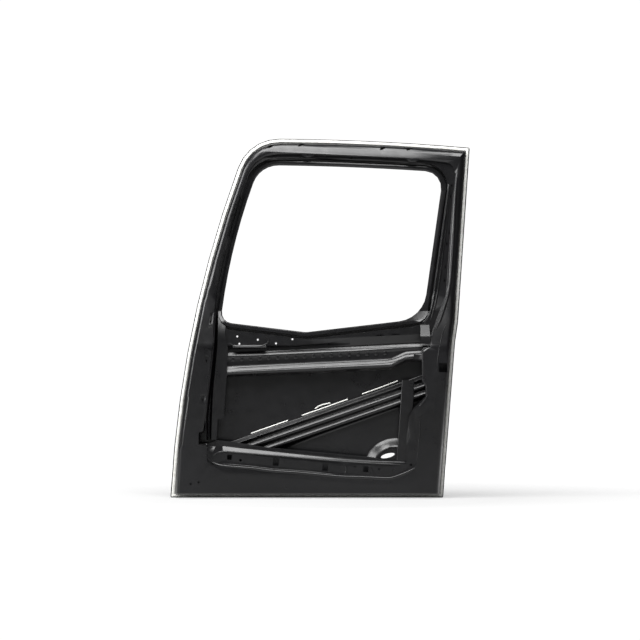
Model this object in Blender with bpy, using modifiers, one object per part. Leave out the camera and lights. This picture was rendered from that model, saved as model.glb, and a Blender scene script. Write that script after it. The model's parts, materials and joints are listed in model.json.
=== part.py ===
"""Bare door shell of a heavy truck cab, standing upright with its inner side facing -Y.

Metres, +Z up. The origin is under the middle of the foot edge. The shell is an outer skin hemmed
round a deep inner pressing, with the window guide frame, glass channels, belt rails, side impact
beam and reinforcements that are welded in before the door is dipped and painted.
"""

import math

import bmesh
import bpy
from mathutils import Vector
from mathutils.geometry import delaunay_2d_cdt
from mathutils.kdtree import KDTree

# Overall size of the door
DOOR_WIDTH = 1.170
DOOR_HEIGHT = 1.402
DOOR_DEPTH = 0.090

# Size at which the places across and up the door are given below: every piece follows the
# overall size from there
DRAWN_WIDTH = 1.170
DRAWN_HEIGHT = 1.402

# Outline of the door: corners set back from the overall size
FOOT_REAR_SETBACK = 0.1035
TOP_FRONT_SETBACK = 0.308
TOP_REAR_FALL = 0.035
FRONT_EDGE_BOW = 0.059
ROOF_EDGE_BOW = 0.010
TOP_FRONT_RADIUS = 0.178
CORNER_RADIUS = 0.006
JOG_TOP_Z = 0.686
JOG_FOOT_Z = 0.608
JOG_TOP_SETBACK = 0.045
JOG_FOOT_SETBACK = 0.0565
JOG_RADIUS = 0.060

# Sheet gauges, and the gap kept between touching sheets
SKIN_GAUGE = 0.0009
PANEL_GAUGE = 0.0012
FRAME_GAUGE = 0.0012
PLATE_GAUGE = 0.0025
BEAM_GAUGE = 0.0018
CLEARANCE = 0.0003

# Hem of the skin round the inner panel, and the bead of sealer laid over it
HEM_WIDTH = 0.011
HEM_ROLL = 0.0018
CORNER_FACETS = 5
PANEL_EDGE_INSET = 0.0022
SEALER_START = 0.0035
SEALER_WIDTH = 0.0105
SEALER_HEIGHT = 0.0026

# Rounded shoulder of the inner panel: distance from the outline, then the share of the depth
# reached there in the window frame and in the body. It is steeper along the foot.
SHOULDER_START = 0.0145
SHOULDER = ((0.0145, 0.0, 0.0), (0.0185, 0.62, 0.66), (0.0260, 0.92, 0.93), (0.0360, 1.0, 1.0))
FOOT_SHOULDER_SHARE = 0.3

# Section of the inner panel, measured in from the hem flange towards the cab
FRAME_THICKNESS = 0.042
LEDGE_DROP = 0.013
LEDGE_FLANGE_SLOPE = 0.0025
LEDGE_WIDTH = 0.003
RIM_DROP = 0.022
RAMP_FOOT_Z = 0.585
RAMP_TOP_Z = 0.800
RAMP_FOOT_BEND = 0.020
RAMP_TOP_BEND = 0.040
RAMP_BEND_STEPS = 3
RIM_DROP_FULL_Z = 0.240
RIM_DROP_END_Z = 0.300

# Small recesses in the front pillar's face, holes through the panel, and a low bead that runs
# round the face's lower rear corner
PILLAR_LEAN = -7.0
POCKET_DEPTH = 0.0045
PILLAR_POCKETS = (
    ((-0.4250, 0.7000), 0.0180, 0.0500),
    ((-0.4415, 0.5382), 0.0200, 0.0360),
    ((-0.4570, 0.3861), 0.0220, 0.0360),
)
POCKET_HOLES = (
    ((-0.4232, 0.7130), 0.0030),
    ((-0.4265, 0.6870), 0.0030),
    ((-0.4415, 0.5360), 0.0035),
    ((-0.4570, 0.3840), 0.0035),
)
FACE_ROUND_HOLES = (((-0.5023, 0.0569), 0.0040), ((-0.4719, 0.0632), 0.0040))
LEDGE_LEAN = -4.0
LEDGE_HOLES = (
    ((-0.3524, 0.1603), 0.0183, 0.0195),
    ((-0.1716, 0.1418), 0.0234, 0.0290),
    ((0.0201, 0.1215), 0.0222, 0.0277),
    ((0.1780, 0.1135), 0.0207, 0.0226),
)
LEDGE_ROUND_HOLES = (
    ((-0.3093, 0.1482), 0.0050),
    ((0.1361, 0.1236), 0.0040),
    ((0.2293, 0.1143), 0.0040),
    ((0.3537, 0.1310), 0.0050),
)
FACE_BEAD = (
    (0.4528, 0.4740),
    (0.4510, 0.4400),
    (0.4466, 0.3822),
    (0.4450, 0.2600),
    (0.4442, 0.1482),
    (0.4390, 0.1090),
    (0.4200, 0.0790),
    (0.3900, 0.0640),
    (0.3300, 0.0570),
    (0.1989, 0.0554),
    (-0.0780, 0.0745),
    (-0.3120, 0.0924),
    (-0.3700, 0.0960),
)
FACE_BEAD_HALF_WIDTH = 0.0030
FACE_BEAD_HEIGHT = 0.0012
LOCK_APERTURE_CENTRE = (0.4785, -0.0400, 0.5088)
LOCK_APERTURE_SIZE = (0.0330, 0.0400, 0.0355)

# Slanted slots through the header, and the tabs of the header's lower edge
HEADER_SLOTS = ((-0.1935, 1.3700), (-0.0740, 1.3767), (0.2440, 1.3627), (0.3480, 1.3611))
HEADER_SLOT = (0.0125, 0.0045)
HEADER_SLOT_TILT = 24.0
HEADER_SLOT_REACH = 0.030
HEADER_EDGE_FRONT = (-0.2496, 1.3455)
HEADER_EDGE_REAR = (0.5324, 1.3104)
HEADER_EDGE_BOW = 0.009
HEADER_TABS = (-0.0480, 0.3610)
HEADER_TAB_DROP = 0.0125
HEADER_TAB_HALF_WIDTH = 0.012
HEADER_TAB_SLOPE = 0.013
HEADER_TAB_RADIUS = 0.004
HEADER_TAB_HOLE_RADIUS = 0.003

# Window aperture
WINDOW_FOOT_FRONT = (-0.388, 0.687)
WINDOW_TOP_FRONT = (-0.234, 1.298)
WINDOW_TOP_REAR = (0.482, 1.270)
WINDOW_FOOT_REAR = (0.402, 0.700)
WINDOW_SILL_DIP = (-0.055, 0.6465)
WINDOW_FOOT_REAR_RADIUS = 0.122
WINDOW_REBATE = 0.0085
WINDOW_FLANGE = 0.011

# Guide frame round the window: depths, and distances outwards from the window edge at the front
# pillar, the header and the rear pillar
RUN_FLOOR_DEPTH = 0.040
RUN_FLANGE_DEPTH = 0.0295
RUN_LIP_DEPTH = 0.0338
RUN_LIP_END = (0.0040, 0.0080, 0.0120)
RUN_FLANGE_END = (0.0120, 0.0165, 0.0195)
RUN_FLOOR_START = (0.0152, 0.0190, 0.0210)
RUN_FLOOR_END = (0.0275, 0.0280, 0.0230)
RUN_LAP_START = (0.0300, 0.0300, 0.0250)
RUN_FOOT_REAR_RADIUS = 0.050
GUIDE_LAP = 0.006
GUIDE_FRAME_FOOT_Z = 0.730
REAR_RIB_OUT = 0.0290
REAR_RIB_WIDTH = 0.0060
REAR_RIB_LENGTH = 0.420
REAR_RIB_MIDDLE_Z = 1.018
REAR_RIB_HEIGHT = 0.006
HEADER_HOLE_RADIUS = 0.0022
HEADER_STRIP_HOLES = (
    (-0.1548, 1.3307),
    (-0.0160, 1.3299),
    (0.1229, 1.3237),
    (0.2633, 1.3174),
    (0.4025, 1.3096),
)
REAR_STRIP_HOLE = (0.0060, 0.0090)
REAR_STRIP_HOLES = (
    (0.5140, 1.2184),
    (0.5097, 1.1762),
    (0.5031, 1.0335),
    (0.4949, 0.9910),
    (0.4887, 0.9013),
    (0.4867, 0.8479),
)

# Belt panel under the window: the sill's section, its crease and its foot
SILL_BLEND_Z = 0.690
SILL_LIP_DEPTH = 0.012
SILL_FACE_DEPTH = 0.002
SILL_GROOVE_DEPTH = 0.013
SILL_LIP_END = 0.0045
SILL_FACE_END = 0.0150
SILL_GROOVE_START = 0.0175
SILL_GROOVE_END = 0.0250
SILL_BELT_START = 0.0275
BELT_JOINT_GAP = 0.0014
BELT_FACE_DEPTH = 0.0
BELT_FOOT_DEPTH = 0.018
BELT_SIDE_GAP = 0.0005
BELT_FRONT_X = -0.366
BELT_GROOVE_FRONT_X = -0.362
BELT_REAR_LAP = 0.0035
BELT_REAR_CORNER = (0.4385, 0.6330)
BELT_CREASE = (
    (0.3950, 0.6400),
    (0.1170, 0.6215),
    (0.0300, 0.6040),
    (-0.1000, 0.5945),
    (BELT_FRONT_X, 0.5950),
)
BELT_FOOT_OVER_CREST = 0.0125
BELT_FOOT_FLANGE = 0.009
BELT_SLOTS = ((0.2340, 0.6345), (0.2964, 0.6382))
BELT_SLOT = (0.0300, 0.0045)

# Mirror reinforcement on the belt panel
MIRROR_PLATE = ((-0.3390, 0.5870), (-0.3390, 0.6390), (-0.2110, 0.6390), (-0.2110, 0.5870))
MIRROR_LIP_Z = 0.5950
MIRROR_LIP_HEIGHT = 0.009
MIRROR_HOLE_RADIUS = 0.0038
SKIN_HOLE_RADIUS = 0.0060
MIRROR_PLATE_HOLES = ((-0.3225, 0.6299), (-0.3143, 0.6015), (-0.2426, 0.6170))
BELT_HOLES = ((-0.1716, 0.6026), (-0.1076, 0.6190))

# Front glass channel: height, end of its groove from the face edge, and its strip's rear edge
FRONT_CHANNEL_LAP = 0.006
FRONT_CHANNEL_LAP_END = 0.0068
FRONT_CHANNEL_FLOOR_START = 0.0100
FRONT_CHANNEL_WALL = 0.003
FRONT_CHANNEL_BEND = 0.003
FRONT_STRIP_DEPTH = -0.006
FRONT_STRIP_RISE_Z = 0.640
FRONT_CHANNEL_STATIONS = (
    (0.3060, 0.0265, -0.3994),
    (0.3136, 0.0260, -0.3756),
    (0.4210, 0.0190, -0.3678),
    (0.4810, 0.0180, -0.3627),
    (0.5850, 0.0170, -0.3590),
    (0.6400, 0.0150, -0.3700),
)
FRONT_GROOVE_BESIDE_BELT = 0.0140

# The channel's foot stands clear of the rim round the service opening: height, end of its groove
# and its strip's rear edge, then the front edge and width of its lap
FRONT_CHANNEL_FOOT = ((0.2262, -0.4260, -0.4037), (0.2640, -0.4260, -0.4010), (0.3, -0.4240, -0.3996))
FRONT_CHANNEL_FOOT_X = -0.4440
FRONT_CHANNEL_FOOT_LAP = 0.002

# Rear glass channel: height, front edge and rear edge
REAR_CHANNEL_DEPTH = -0.0085
REAR_CHANNEL_FLANGE = 0.017
REAR_CHANNEL_DRAFT = 0.0015
REAR_CHANNEL_BEND = 0.003
REAR_CHANNEL_STATIONS = (
    (0.1440, 0.2982, 0.3385),
    (0.2808, 0.3075, 0.3530),
    (0.3471, 0.3119, 0.3643),
    (0.4600, 0.3194, 0.3684),
)

# Inner belt rail: its crest line, its section down from the crest, and where its lower crest
# steps up towards the rear
RAIL_MIDDLE_Z = 0.5717
RAIL_SLOPE = 0.0489
RAIL_BOW = 0.0195
RAIL_SECTION = (
    (-0.030, 0.0195),
    (-0.0082, 0.0195),
    (0.005, 0.0040),
    (0.012, 0.0100),
    (0.043, 0.0100),
    (0.050, 0.0030),
    (0.056, 0.0030),
    (0.063, -0.0045),
    (0.073, -0.0045),
    (0.085, 0.0130),
)
RAIL_BEND = 0.004
RAIL_WEB_DOWN = 0.035
RAIL_STEP_UP = 0.0234
RAIL_STATIONS = (-0.372, -0.180, 0.0, 0.140, 0.277, 0.335, 0.400)
RAIL_STEP_START_X = 0.277
RAIL_STEP_END_X = 0.335

# Outer belt rail, a hat section on the skin
OUTER_RAIL_Z = 0.595
OUTER_RAIL_HEIGHT = 0.0085
OUTER_RAIL_STATIONS = (-0.085, 0.1475, 0.380)
OUTER_RAIL_HALF_WIDTHS = (0.036, 0.022, 0.016)

# Outer handle bowl, pressed into the skin, and the hole for the handle in its crown
BOWL_CENTRE = (0.296, 0.128)
BOWL_HALF_WIDTH = 0.125
BOWL_HALF_HEIGHT = 0.108
BOWL_DEPTH = 0.030
BOWL_SECTION = ((1.0, 0.0), (0.93, 0.10), (0.82, 0.45), (0.71, 0.85), (0.62, 1.0))
HANDLE_HOLE_CENTRE = (0.2644, 0.1648)
HANDLE_HOLE_LENGTH = 0.056
HANDLE_HOLE_HEIGHT = 0.0168
HANDLE_HOLE_TILT = 0.25
HANDLE_PLATE_SHARE = 0.60
HANDLE_PLATE_GAUGE = 0.0012
HANDLE_PLATE_HOLE_MARGIN = 0.004

# Camber of the whole door: it leans in above and below its fullest height
CAMBER_FULLEST_Z = 0.450
CAMBER_TOP = 0.016
CAMBER_FOOT = 0.006
CAMBER_STATION = 0.200
DEPTH_CENTRING = 0.0028

# Side impact beam across the body: axis ends, then its section: its two edges, and the middle
# and half width of each ridge, across the beam
BEAM_FRONT = (-0.345, 0.1838)
BEAM_REAR = (0.430, 0.4527)
BEAM_HEIGHT = 0.016
BEAM_SKIN_GAP = 0.003
BEAM_EDGES = (0.0345, -0.0620)
BEAM_RIDGES = ((0.0205, 0.0105), (-0.0090, 0.0130), (-0.0400, 0.0135))
BEAM_TROUGH = 0.31
BEAM_RIDGE_STEPS = 4

# Brackets from the beam and the rail to the back of the panel's face: distance, and how far each
# has gone from its own seat (0) to the face (1)
BRACKET_ACROSS = (-0.030, -0.005, 0.022)
FRONT_BRACKET = ((0.0160, 0.0), (-0.0350, 0.0), (-0.1027, 0.7109), (-0.1185, 1.0), (-0.1770, 1.0))
REAR_BRACKET = ((0.7950, 0.0), (0.8270, 0.0), (0.8436, 1.0), (0.8560, 1.0))
RAIL_BRACKET = ((0.3650, 0.0), (0.3980, 0.0), (0.4120, 1.0), (0.4400, 1.0))
RAIL_BRACKET_Z = (0.5400, 0.5500, 0.5600)

# Rear pillar gusset: height, depth and its two side edges
GUSSET_FACET_TOP = (0.6750, 0.3910, 0.4255)
GUSSET_FACET_FOOT = (0.6320, 0.3910, 0.4285)
GUSSET_TAB_FOOT = (0.6050, 0.3930, 0.4285)
GUSSET_LIP = (0.5960, 0.3950, 0.4285)
GUSSET_LIP_HEIGHT = 0.005

# Flat reinforcements against the back of the panel's face: centre, width, height and lean
REINFORCEMENTS = {
    "hinge_reinforcement_upper": ((-0.4735, 0.5075), 0.0280, 0.1000, -8.0),
    "hinge_reinforcement_lower": ((-0.4915, 0.3400), 0.0280, 0.1060, -7.0),
    "check_strap_reinforcement": ((-0.4800, 0.4250), 0.0300, 0.0240, -7.0),
    "lock_reinforcement": ((0.4620, 0.5505), 0.0340, 0.0340, 0.0),
}
NUT_PLATES = {
    "hinge_nut_plate_upper": "hinge_reinforcement_upper",
    "hinge_nut_plate_lower": "hinge_reinforcement_lower",
}
NUT_PLATE_GAUGE = 0.008
NUT_PLATE_MARGIN = 0.004
BOLT_SPREAD = (0.45, 0.60)
BOLT_HOLE_RADIUS = 0.0050
BOLT_THREAD_RADIUS = 0.0042

# Mastic beads on the skin, along the upper edge of the beam
MASTIC_RADIUS = 0.0028
MASTIC_LINES = (
    ((-0.2690, 0.2505), (-0.2000, 0.2745), (-0.1248, 0.3010)),
    ((-0.0700, 0.3207), (-0.0156, 0.3397), (0.0400, 0.3590), (0.1090, 0.3840)),
    ((-0.0190, 0.3470), (-0.0060, 0.3565), (0.0120, 0.3635), (0.0400, 0.3695)),
    ((0.1640, 0.4040), (0.2340, 0.4290), (0.3040, 0.4560)),
)

BLACK_PRIMER = (0.012, 0.012, 0.013, 1.0)
SEALER_WHITE = (0.78, 0.78, 0.76, 1.0)
MASTIC_WHITE = (0.86, 0.86, 0.84, 1.0)

SKIN_FACE = DOOR_DEPTH / 2
HEM_FACE = SKIN_FACE - SKIN_GAUGE - CLEARANCE - PANEL_GAUGE
HEM_RETURN = HEM_FACE - CLEARANCE - SKIN_GAUGE
BODY_FACE = -DOOR_DEPTH / 2
FRAME_FACE = HEM_FACE - FRAME_THICKNESS
SKIN_BACK = SKIN_FACE - SKIN_GAUGE - CLEARANCE
FACE_BACK = BODY_FACE + PANEL_GAUGE + CLEARANCE
BELT_TOP_Z = GUIDE_FRAME_FOOT_Z - BELT_JOINT_GAP
RAIL_TOP_DEPTH = BELT_FOOT_DEPTH + PANEL_GAUGE + CLEARANCE
BEND_SPAN = [2 * step / RAMP_BEND_STEPS - 1 for step in range(RAMP_BEND_STEPS + 1)]
RAMP_KNOTS = [RAMP_FOOT_Z + RAMP_FOOT_BEND * span for span in BEND_SPAN]
RAMP_KNOTS += [RAMP_TOP_Z + RAMP_TOP_BEND * span for span in BEND_SPAN]
X_FRONT = -DRAWN_WIDTH / 2
X_REAR = DRAWN_WIDTH / 2
WIDTH_SHARE = DOOR_WIDTH / DRAWN_WIDTH
HEIGHT_SHARE = DOOR_HEIGHT / DRAWN_HEIGHT


def ramp(value, low, high, at_low, at_high):
    """Straight change from one level to another between two places."""
    share = min(max((value - low) / (high - low), 0.0), 1.0)
    return at_low + (at_high - at_low) * share


def ramp_share(z):
    """How far the face has come from the body's depth to the window frame's, with soft bends."""

    def bend(at, centre, half):
        reach = min(max(at - centre + half, 0.0), 2 * half)
        return reach * reach / (4 * half) + max(at - centre - half, 0.0)

    def curve(at):
        rise = bend(at, RAMP_FOOT_Z, RAMP_FOOT_BEND) - bend(at, RAMP_TOP_Z, RAMP_TOP_BEND)
        return rise / (RAMP_TOP_Z - RAMP_FOOT_Z)

    for low, high in zip(RAMP_KNOTS, RAMP_KNOTS[1:]):
        if low <= z <= high:
            return ramp(z, low, high, curve(low), curve(high))
    return curve(z)


def face_level(z):
    """Depth of the inner panel's face: deep below the belt, shallow round the window."""
    return BODY_FACE + (FRAME_FACE - BODY_FACE) * ramp_share(z)


def ledge_level(z):
    return face_level(z) + LEDGE_DROP


def lap_level(z):
    """Depth of a sheet that lies against the back of the ledge."""
    return ledge_level(z) + PANEL_GAUGE + CLEARANCE


def rim_level(z):
    return ledge_level(z) + ramp(z, RIM_DROP_FULL_Z, RIM_DROP_END_Z, RIM_DROP, 0.0)


def camber(z):
    """How far the door leans in at a height, straight between stations."""
    station = math.floor(z / CAMBER_STATION)
    low, high = station * CAMBER_STATION, (station + 1) * CAMBER_STATION

    def curve(at):
        if at > CAMBER_FULLEST_Z:
            rise = (at - CAMBER_FULLEST_Z) / (DRAWN_HEIGHT - CAMBER_FULLEST_Z)
            return -CAMBER_TOP * rise * rise
        fall = (CAMBER_FULLEST_Z - at) / CAMBER_FULLEST_Z
        return -CAMBER_FOOT * fall * fall

    return DEPTH_CENTRING + ramp(z, low, high, curve(low), curve(high))


def corner(point, radius=0.0, bow=0.0):
    """A corner of an outline: its place, its fillet and the bow of the edge that leaves it."""
    return (point[0], point[1], radius, bow)


def edge_curve(corners, index):
    start = Vector(corners[index][:2])
    end = Vector(corners[(index + 1) % len(corners)][:2])
    chord = end - start
    left = Vector((-chord.y, chord.x)).normalized()
    return start, chord, left, corners[index][3]


def on_edge(edge, share):
    start, chord, left, bow = edge
    return start + chord * share + left * (4 * bow * share * (1 - share))


def heading(edge, share):
    _, chord, left, bow = edge
    return (chord + left * (4 * bow * (1 - 2 * share))).normalized()


def fillet_steps(radius):
    """Facets of a fillet: more on a large one."""
    return 6 if radius > 0.07 else 4 if radius > 0.015 else 2


def trace(corners, round_steps=None, bow_steps=7):
    """Outline as points, clockwise as seen from the cab, with its fillets and bows."""
    edges = [edge_curve(corners, i) for i in range(len(corners))]
    cuts = []
    for i, (_, _, radius, _) in enumerate(corners):
        before, after = edges[i - 1], edges[i]
        turn = heading(before, 1).angle(heading(after, 0))
        setback = radius * math.tan(turn / 2)
        cuts.append((setback / before[1].length, setback / after[1].length, radius))
    points = []
    for i, (cut_in, cut_out, radius) in enumerate(cuts):
        before, after = edges[i - 1], edges[i]
        start, end = on_edge(before, 1 - cut_in), on_edge(after, cut_out)
        if radius <= 0:
            points.append(end)
        else:
            way_in, way_out = heading(before, 1 - cut_in), heading(after, cut_out)
            arm = 4 / 3 * math.tan(way_in.angle(way_out) / 4) * radius
            steps = round_steps or fillet_steps(radius)
            for step in range(steps + 1):
                t = step / steps
                points.append(
                    start * (1 - t) ** 3
                    + (start + way_in * arm) * (3 * t * (1 - t) ** 2)
                    + (end - way_out * arm) * (3 * t * t * (1 - t))
                    + end * t**3
                )
        if after[3]:
            last = 1 - cuts[(i + 1) % len(cuts)][0]
            for step in range(1, bow_steps):
                points.append(on_edge(after, cut_out + (last - cut_out) * step / bow_steps))
    return points


def inset(corners, distances, least_radius=0.001):
    """The outline moved inwards, by one distance or by one for each edge."""
    count = len(corners)
    if not isinstance(distances, (list, tuple)):
        distances = [distances] * count
    moved = []
    for i, (x, z, radius, bow) in enumerate(corners):
        here = Vector((x, z))
        before = (here - Vector(corners[i - 1][:2])).normalized()
        after = (Vector(corners[(i + 1) % count][:2]) - here).normalized()
        cross = before.x * after.y - before.y * after.x
        inward_before = Vector((before.y, -before.x))
        inward_after = Vector((after.y, -after.x))
        near, far = distances[i - 1], distances[i]
        if abs(cross) < 0.02:
            place = here + (inward_before + inward_after).normalized() * (near + far) / 2
        else:
            start = here + inward_before * near
            gap = here + inward_after * far - start
            place = start + before * ((gap.x * after.y - gap.y * after.x) / cross)
        shift = (near + far) / 2 * (1 if cross < 0 else -1)
        new_radius = max(radius - shift, least_radius) if radius > 0 else 0.0
        moved.append((place.x, place.y, new_radius, bow))
    return moved


def rectangle(centre, width, height, radius=0.002, turn=0.0):
    """Corners of a rectangular outline, turned by an angle in degrees."""
    angle = math.radians(turn)
    across = Vector((math.cos(angle), math.sin(angle))) * (width / 2)
    upward = Vector((-math.sin(angle), math.cos(angle))) * (height / 2)
    middle = Vector(centre)
    signs = ((-1, -1), (-1, 1), (1, 1), (1, -1))
    return [corner(middle + across * sx + upward * sz, radius) for sx, sz in signs]


def ellipse(centre, half_width, half_height, steps=24, turn=0.0):
    """Points of an ellipse, clockwise as seen from the cab."""
    points = []
    for step in range(steps):
        angle = -2 * math.pi * step / steps
        x, z = half_width * math.cos(angle), half_height * math.sin(angle)
        points.append(
            Vector(
                (
                    centre[0] + x * math.cos(turn) - z * math.sin(turn),
                    centre[1] + x * math.sin(turn) + z * math.cos(turn),
                )
            )
        )
    return points


def inside(point, outline):
    """Whether a point lies inside a closed outline."""
    found = False
    for i, end in enumerate(outline):
        start = outline[i - 1]
        if (start.y > point.y) != (end.y > point.y):
            crossing = start.x + (point.y - start.y) * (end.x - start.x) / (end.y - start.y)
            found ^= point.x < crossing
    return found


def with_knots(outline, closed=True):
    """The outline with a point added wherever it crosses a height at which the section changes."""
    knots = (*RAMP_KNOTS, RIM_DROP_FULL_Z, RIM_DROP_END_Z)
    points = []
    for i, end in enumerate(outline):
        if i or closed:
            start = outline[i - 1]
            crossed = [k for k in knots if min(start.y, end.y) + 1e-4 < k < max(start.y, end.y) - 1e-4]
            for knot in sorted(crossed, reverse=start.y > end.y):
                points.append(start.lerp(end, (knot - start.y) / (end.y - start.y)))
        points.append(end)
    return points


class Relief:
    """Contour map of a pressing: outlines, each with its depth, triangulated between them."""

    def __init__(self):
        self.points = []
        self.depths = []
        self.edges = []
        self.openings = []

    def contour(self, outline, depth, closed=True):
        """Adds a line of the map. The depth is one number, or a function of the height."""
        outline = [Vector(point) for point in outline]
        if callable(depth):
            outline = with_knots(outline, closed)
        first, count = len(self.points), len(outline)
        self.points += outline
        self.depths += [depth(point.y) if callable(depth) else depth for point in outline]
        steps = count if closed else count - 1
        self.edges += [(first + i, first + (i + 1) % count) for i in range(steps)]
        return outline

    def line(self, points, closed=False):
        """Adds a line of points that each have a depth of their own: (x, depth, z)."""
        first, count = len(self.points), len(points)
        self.points += [Vector((x, z)) for x, _, z in points]
        self.depths += [depth for _, depth, _ in points]
        steps = count if closed else count - 1
        self.edges += [(first + i, first + (i + 1) % count) for i in range(steps)]
        return [Vector((x, z)) for x, _, z in points]

    def pad(self, corners, depth, drop, draft=0.003):
        """A small area pressed in or out, with sloping sides."""
        self.contour(trace(corners), depth)
        inner = trace(inset(corners, draft))
        if callable(depth):
            return self.contour(inner, lambda z: depth(z) + drop)
        return self.contour(inner, depth + drop)

    def bead(self, points, depth, half_width, height):
        """A low rib along a line of the map, towards the cab."""
        points = with_knots([Vector(point) for point in points], False)
        above, under = [], []
        for before, here, after in zip(points[:1] + points, points, points[1:] + points[-1:]):
            way = (after - before).normalized()
            across = Vector((-way.y, way.x)) * half_width
            above.append(here + across)
            under.append(here - across)
        self.contour(above + under[::-1], depth)
        self.contour(points[1:-1], lambda z: depth(z) - height, closed=False)

    def opening(self, outline, depth):
        self.openings.append(self.contour(outline, depth))

    def mesh(self, rim, outward=False):
        """Surface inside the rim and outside the openings, facing the cab or outward."""
        found = delaunay_2d_cdt(self.points, self.edges, [], 0, 1e-6)
        places, faces, sources = found[0], found[2], found[3]
        surface = bmesh.new()
        verts = []
        for place, source in zip(places, sources):
            depth = self.depths[source[0]] if source else 0.0
            verts.append(surface.verts.new((place.x, depth, place.y)))
        crossings = [vert for vert, source in zip(verts, sources) if not source]
        for face in faces:
            middle = sum((places[i] for i in face), Vector((0.0, 0.0))) / 3
            if inside(middle, rim) and not any(inside(middle, hole) for hole in self.openings):
                order = reversed(face) if outward else face
                surface.faces.new([verts[i] for i in order])
        for vert in crossings:
            around = [edge.other_vert(vert).co.y for edge in vert.link_edges]
            vert.co.y = sum(around) / max(len(around), 1)
        loose = [vert for vert in surface.verts if not vert.link_faces]
        bmesh.ops.delete(surface, geom=loose, context="VERTS")
        return surface


def lean(surface):
    """Cuts a surface at the camber stations it crosses, and leans it in by the camber."""
    heights = [vert.co.z for vert in surface.verts]
    first = math.ceil(min(heights) / CAMBER_STATION)
    last = math.floor(max(heights) / CAMBER_STATION)
    for station in range(first, last + 1):
        everything = surface.verts[:] + surface.edges[:] + surface.faces[:]
        bmesh.ops.bisect_plane(
            surface,
            geom=everything,
            dist=2e-5,
            plane_co=(0, 0, station * CAMBER_STATION),
            plane_no=(0, 0, 1),
        )
    for vert in surface.verts:
        vert.co.y += camber(vert.co.z)


def primer(name, colour, roughness):
    material = bpy.data.materials.get(name) or bpy.data.materials.new(name)
    material.use_nodes = True
    shader = material.node_tree.nodes["Principled BSDF"]
    shader.inputs["Base Color"].default_value = colour
    shader.inputs["Roughness"].default_value = roughness
    shader.inputs["Metallic"].default_value = 0.0
    material.diffuse_color = colour
    return material


def place(name, surface, material, collection, gauge=0.0, inward=True, cambered=True):
    """Makes a named object of a surface, given its sheet gauge by Solidify."""
    if cambered:
        lean(surface)
    bmesh.ops.scale(surface, vec=(WIDTH_SHARE, 1.0, HEIGHT_SHARE), verts=surface.verts[:])
    mesh = bpy.data.meshes.new(name)
    surface.to_mesh(mesh)
    surface.free()
    mesh.shade_smooth()
    mesh.set_sharp_from_angle(angle=math.radians(30))
    mesh.materials.append(material)
    piece = bpy.data.objects.new(name, mesh)
    collection.objects.link(piece)
    if gauge:
        solid = piece.modifiers.new("Gauge", "SOLIDIFY")
        solid.thickness = gauge
        solid.offset = -1.0 if inward else 1.0
        solid.use_even_offset = True
        solid.use_quality_normals = True
    return piece


def door_outline():
    return [
        corner((X_FRONT, 0.0), CORNER_RADIUS, FRONT_EDGE_BOW),
        corner((X_FRONT + TOP_FRONT_SETBACK, DRAWN_HEIGHT), TOP_FRONT_RADIUS, ROOF_EDGE_BOW),
        corner((X_REAR, DRAWN_HEIGHT - TOP_REAR_FALL), CORNER_RADIUS),
        corner((X_REAR - JOG_TOP_SETBACK, JOG_TOP_Z), JOG_RADIUS),
        corner((X_REAR - JOG_FOOT_SETBACK, JOG_FOOT_Z), JOG_RADIUS),
        corner((X_REAR - FOOT_REAR_SETBACK, 0.0), CORNER_RADIUS),
    ]


def window_outline(foot_rear_radius=WINDOW_FOOT_REAR_RADIUS):
    return [
        corner(WINDOW_FOOT_FRONT, 0.043, 0.021),
        corner(WINDOW_TOP_FRONT, 0.110, 0.006),
        corner(WINDOW_TOP_REAR, 0.066),
        corner(WINDOW_FOOT_REAR, foot_rear_radius),
        corner(WINDOW_SILL_DIP, 0.078),
    ]


def run_line(distances, sill=None):
    """Line of the glass run, which keeps straighter than the window's lower rear corner."""
    front, top, rear = distances
    sill = front if sill is None else sill
    outline = window_outline(RUN_FOOT_REAR_RADIUS)
    return trace(inset(outline, [-front, -top, -rear, -sill, -sill]))


def header_edge(x):
    """Height of the header's lower edge, which bows up a little between its ends."""
    (start, low), (end, high) = HEADER_EDGE_FRONT, HEADER_EDGE_REAR
    share = (x - start) / (end - start)
    return low + (high - low) * share + 4 * HEADER_EDGE_BOW * share * (1 - share)


def header_tabs():
    """Corners of the small tabs that hang from the header's lower edge."""
    corners = []
    for middle in HEADER_TABS:
        for side in (-1, 1):
            root = middle + side * (HEADER_TAB_HALF_WIDTH + HEADER_TAB_SLOPE)
            tip = middle + side * HEADER_TAB_HALF_WIDTH
            pair = [
                corner((root, header_edge(root)), HEADER_TAB_RADIUS),
                corner((tip, header_edge(middle) - HEADER_TAB_DROP), HEADER_TAB_RADIUS),
            ]
            corners += pair if side < 0 else pair[::-1]
    return corners


def face_edge_outline():
    """Inner edge of the inner panel's face, round the window and the service opening."""
    return [
        corner((-0.4390, 0.1295), 0.028),
        corner((-0.4415, 0.2060), 0.005),
        corner((-0.4720, 0.2080), 0.005),
        corner((-0.4720, 0.2570), 0.005),
        corner((-0.4560, 0.2605), 0.005),
        corner((-0.4165, 0.6160), 0.300, 0.042),
        corner(HEADER_EDGE_FRONT, 0.140),
        *header_tabs(),
        corner(HEADER_EDGE_REAR, 0.047),
        corner((0.4953, 0.7878), 0.050),
        corner((0.4350, 0.6318), 0.010),
        corner((0.4310, 0.5870), 0.006),
        corner((0.4017, 0.5810), 0.006),
        corner((0.4017, 0.4580), 0.008),
        corner((0.4154, 0.4407), 0.008),
        corner((0.4154, 0.3958), 0.012),
        corner((0.3705, 0.3490), 0.008),
        corner((0.3890, 0.3160), 0.012),
        corner((0.3750, 0.1307), 0.022),
        corner((0.2790, 0.0788), 0.030),
    ]


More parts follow.
